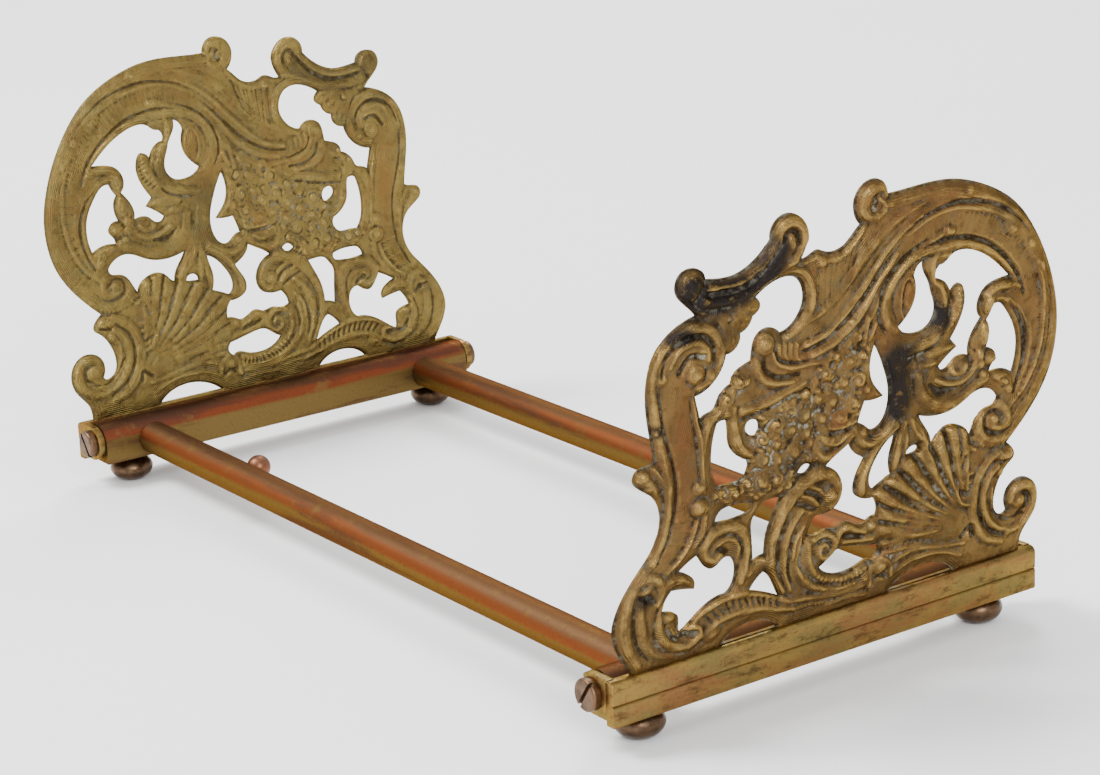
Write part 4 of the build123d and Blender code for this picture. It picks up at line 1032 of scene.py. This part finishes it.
def drawn_metal(name, top, side, under, blotch, stretch):
    """Rails and tubes: tarnish colours in bands by slope, streaked along the length; the dark top band is
    tarnish and painted shade, darkened against the sky's reflection.
    """
    p = Paint(name)
    wander = p.times(p.maths("SUBTRACT", p.noise(45, 4, 0.6, stretch), 0.5), 1.1)
    level = p.plus(p.slope(), wander)
    color = p.mix(p.ramp(level, 0.10, 0.38), under, side)
    # Upward faces take the dark top colour: tarnish, with painted shade that offsets the sky's reflection.
    color = p.mix(p.ramp(level, 0.62, 0.92), color, top)
    color = p.blotches(color, blotch, 110, (0.50, 0.64), 0.75, 5, stretch=stretch)
    color = p.blotches(color, under, 150, (0.56, 0.70), 0.6, roughness=0.65)
    speck = p.noise(1100, 3, 0.7)
    color = p.mix(p.ramp(speck, *SPECK, 0.0, 0.4), color, DIRT)
    p.bump(speck, 0.00006, 0.5)
    p.shader.inputs["Specular Tint"].default_value = DRAWN_SHEEN
    return p.finish(color, p.ramp(speck, 0.3, 0.7, 0.46, 0.60))


def turned_metal(name, color, dark, roughness):
    """Feet, screws, knob and the plain inner parts."""
    p = Paint(name)
    color = p.blotches(color, dark, 240, (0.40, 0.66), roughness=0.65)
    p.bump(p.noise(1400, 3), 0.00005, 0.4)
    return p.finish(color, p.ramp(p.noise(500, 3), 0.3, 0.7, roughness, roughness + 0.14))


def floor_paint():
    p = Paint("floor_white")
    tone = p.mix(p.ramp(p.noise(3, 2), 0.3, 0.7), gray(0.89), gray(0.90))
    p.shader.inputs["Specular IOR Level"].default_value = 0.15
    return p.finish(tone, p.ramp(p.noise(3, 2), 0.3, 0.7, 0.7, 0.75), 0.0)


ALONG_X, ALONG_Y = (0.1, 1, 1), (1, 0.1, 1)
RIGHT_CAST = cast_metal(
    "right_cast", high=(0.148, 0.091, 0.032), low=(0.096, 0.057, 0.022), bright=(0.39, 0.250, 0.072),
    dark=(0.030, 0.020, 0.011), red=(0.125, 0.050, 0.021), powder_color=(0.24, 0.235, 0.18), patina=1.0)
LEFT_CAST = cast_metal(
    "left_cast", high=(0.192, 0.137, 0.041), low=(0.137, 0.094, 0.031), bright=(0.32, 0.232, 0.072),
    dark=(0.058, 0.040, 0.014), red=(0.17, 0.095, 0.028), powder_color=(0.17, 0.165, 0.12), patina=0.35)
BAR_BRASS = bar_metal("bar_brass", front=(0.225, 0.143, 0.041), copper=(0.200, 0.100, 0.037),
                      olive=(0.160, 0.119, 0.040), dark=(0.060, 0.036, 0.016))
FINISHES = {
    # The top colours of the rails and tubes are tarnish, darkened further as painted shade against the sky's
    # reflection.
    "rail_brass": drawn_metal("rail_metal", top=(0.085, 0.045, 0.024), side=(0.170, 0.045, 0.019),
                              under=(0.150, 0.098, 0.032), blotch=(0.075, 0.035, 0.025), stretch=ALONG_Y),
    "tube_brass": drawn_metal("tube_metal", top=(0.115, 0.062, 0.031), side=(0.175, 0.055, 0.020),
                              under=(0.145, 0.088, 0.027), blotch=(0.085, 0.045, 0.026), stretch=ALONG_X),
    "foot_bronze": turned_metal("foot_metal", (0.110, 0.066, 0.038), (0.06, 0.036, 0.022), 0.27),
    "screw_brass": turned_metal("screw_metal", (0.14, 0.082, 0.045), (0.07, 0.04, 0.024), 0.34),
    "knob_copper": turned_metal("knob_metal", (0.20, 0.085, 0.045), (0.13, 0.06, 0.035), 0.36),
    "inner_brass": turned_metal("inner_metal", (0.40, 0.29, 0.11), (0.32, 0.22, 0.085), 0.30),
}


# ---------------------------------------------------------------- base bars
BAR_END, EAR_THICK, EAR_RADIUS = 75.5, 2.2, 5.8
EAR_FLAT = 3.4               # a filed ear ends this far behind the pivot
EAR_GAP = 0.03               # the ear's outer face lies this far inside the bar's end
BAR_ROUND, LOW_ROUND, BACK_ROUND = 1.9, 0.5, 0.4
LINE_Z, LINE_CUT = 14.4, 0.45
END_INSET = 0.35             # rounding of the cut ends


def arc(cx, cz, radius, start, stop, count):
    angles = np.radians(np.linspace(start, stop, count))
    return [(cx + radius * math.cos(a), cz + radius * math.sin(a)) for a in angles]


def bar_outline():
    """Section of the bar: rounded edges, and the scribed line along its front."""
    low_front = arc(BAR_OUT - LOW_ROUND, BAR_LOW + LOW_ROUND, LOW_ROUND, -90, 0, 5)
    line = [(BAR_OUT, LINE_Z - LINE_CUT), (BAR_OUT - LINE_CUT, LINE_Z), (BAR_OUT, LINE_Z + LINE_CUT)]
    top_front = arc(BAR_OUT - BAR_ROUND, BAR_TOP - BAR_ROUND, BAR_ROUND, 0, 90, 9)
    top_back = arc(BAR_IN + BACK_ROUND, BAR_TOP - BACK_ROUND, BACK_ROUND, 90, 180, 4)
    low_back = arc(BAR_IN + BACK_ROUND, BAR_LOW + BACK_ROUND, BACK_ROUND, 180, 270, 4)
    return low_front + line + top_front + top_back + low_back


def ear_outline(filed):
    """Section of an ear: from the back of the bar round the pivot."""
    back = arc(PIVOT_AT[0], PIVOT_AT[2], EAR_RADIUS, 90, 270, 33)
    if filed:
        back = [(max(x, PIVOT_AT[0] - EAR_FLAT), z) for x, z in back]
    return [(BAR_IN + 1, PIVOT_AT[2] - EAR_RADIUS), (BAR_IN + 1, PIVOT_AT[2] + EAR_RADIUS)] + back


def prism(outline, y_from, y_to):
    """Solid with that section in x and z, with its ends a little rounded."""
    n = len(outline)
    middle = np.mean(outline, 0)
    verts, faces = [], []
    sizes = [(y_from, END_INSET), (y_from + 0.15 * END_INSET, 0.3 * END_INSET), (y_from + END_INSET, 0.0),
             (y_to - END_INSET, 0.0), (y_to - 0.15 * END_INSET, 0.3 * END_INSET), (y_to, END_INSET)]
    for y, shrink in sizes:
        for x, z in outline:
            d = np.array([x, z]) - middle
            keep = 1 - shrink / max(np.hypot(*d), 1.0)
            verts.append((middle[0] + d[0] * keep, y, middle[1] + d[1] * keep))
    for ring in range(len(sizes) - 1):
        for k in range(n):
            a, b = ring * n + k, ring * n + (k + 1) % n
            faces.append((a, b, b + n, a + n))
    faces.append(tuple(range(n))[::-1])
    faces.append(tuple(range((len(sizes) - 1) * n, len(sizes) * n)))
    return np.array(verts) * MM, faces


def base_bar(name, filed, turned):
    """The bar over its full length, with an ear behind it at each end."""
    ear_from, ear_to = BAR_END - EAR_THICK, BAR_END - EAR_GAP
    parts = [prism(bar_outline(), -BAR_END, BAR_END),
             prism(ear_outline(filed), -ear_to, -ear_from),
             prism(ear_outline(filed), ear_from, ear_to)]
    verts, faces, shift = [], [], 0
    for part_verts, part_faces in parts:
        verts.append(part_verts)
        faces += [tuple(i + shift for i in f) for f in part_faces]
        shift += len(part_verts)
    verts = np.vstack(verts)
    obj = mesh_object(name, half_turn(verts) if turned else verts, faces)
    turn_outward(obj)
    return obj


# ---------------------------------------------------------------- pieces
FINE_PITCH, COARSE_PITCH = 0.52, 0.68        # the face that the photo's side shows is the finer one
EDGE_BEVEL, BEVEL_FROM = 0.3, 40             # on the CAD nodes, in millimetres and degrees


def cast_end(side, outer_pitch, inner_pitch, metal, filed, turned):
    plate = scrollwork(f"{side}_scrollwork", outer_pitch, inner_pitch, turned)
    plate.data.materials.append(metal)
    bar = base_bar(f"{side}_base_bar", filed, turned)
    bar.data.materials.append(BAR_BRASS)
    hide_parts(f"{side}_end_plate")
    for piece in (plate, bar):
        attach(piece, f"{side}_plate")


def dress_cad_nodes():
    """The drawn and turned parts keep their CAD shape, with softened edges and their metal."""
    slots = {s["node"]: s["material_slot"] for s in frame["record"]["subparts"]}
    for name, obj in frame["nodes"].items():
        if name.endswith("end_plate"):
            continue
        obj.data.materials.clear()
        obj.data.materials.append(FINISHES[slots[name]])
        bevel = obj.modifiers.new("soft_edges", "BEVEL")
        bevel.width = EDGE_BEVEL * MM
        bevel.segments = 2
        bevel.limit_method = "ANGLE"
        bevel.angle_limit = math.radians(BEVEL_FROM)


# ---------------------------------------------------------------- stage, light and camera
FLOOR_HALF = 12.0
OVER_RACK, BEHIND_RACK = (0, 0, 0.05), (-0.5, 0.4, 0)
LIGHTS = (("key", (-0.6, -0.9, 1.5), OVER_RACK, 0.7, 44),
          ("fill", (1.6, -0.5, 0.9), OVER_RACK, 0.9, 24),
          ("back", (-1.1, 1.0, 1.5), BEHIND_RACK, 0.9, 26))
SKY_COLOR, SKY_STRENGTH = (0.98, 0.985, 1.0, 1), 1.38
CAMERA_AT, CAMERA_TURN = (0.70967, -0.48140, 0.31413), (72.881, 2.485, 54.282)
LENS, SENSOR = 95.02, 36.0


def floor():
    corners = [(x * FLOOR_HALF, y * FLOOR_HALF, 0) for x, y in ((-1, -1), (1, -1), (1, 1), (-1, 1))]
    obj = mesh_object("floor", corners, [(0, 1, 2, 3)])
    obj.data.materials.append(floor_paint())


def add_to_scene(name, data, at, turn):
    obj = bpy.data.objects.new(name, data)
    obj.location = at
    obj.rotation_euler = turn
    bpy.context.scene.collection.objects.link(obj)
    return obj


def studio():
    for name, at, aim, size, power in LIGHTS:
        light = bpy.data.lights.new(name, "AREA")
        light.shape, light.size, light.energy = "DISK", size, power
        add_to_scene(name, light, at, (Vector(aim) - Vector(at)).to_track_quat("-Z", "Y").to_euler())
    world = bpy.data.worlds.new("studio")
    world.use_nodes = True
    background = world.node_tree.nodes["Background"]
    background.inputs["Color"].default_value = SKY_COLOR
    background.inputs["Strength"].default_value = SKY_STRENGTH
    bpy.context.scene.world = world


def camera():
    data = bpy.data.cameras.new("camera")
    data.lens, data.sensor_width = LENS, SENSOR
    data.clip_start, data.clip_end = 0.05, 50
    turn = Euler([math.radians(a) for a in CAMERA_TURN])
    bpy.context.scene.camera = add_to_scene("camera", data, CAMERA_AT, turn)


cast_end("right", FINE_PITCH, COARSE_PITCH, RIGHT_CAST, filed=True, turned=False)
cast_end("left", COARSE_PITCH, FINE_PITCH, LEFT_CAST, filed=False, turned=True)
dress_cad_nodes()
floor()
studio()
camera()
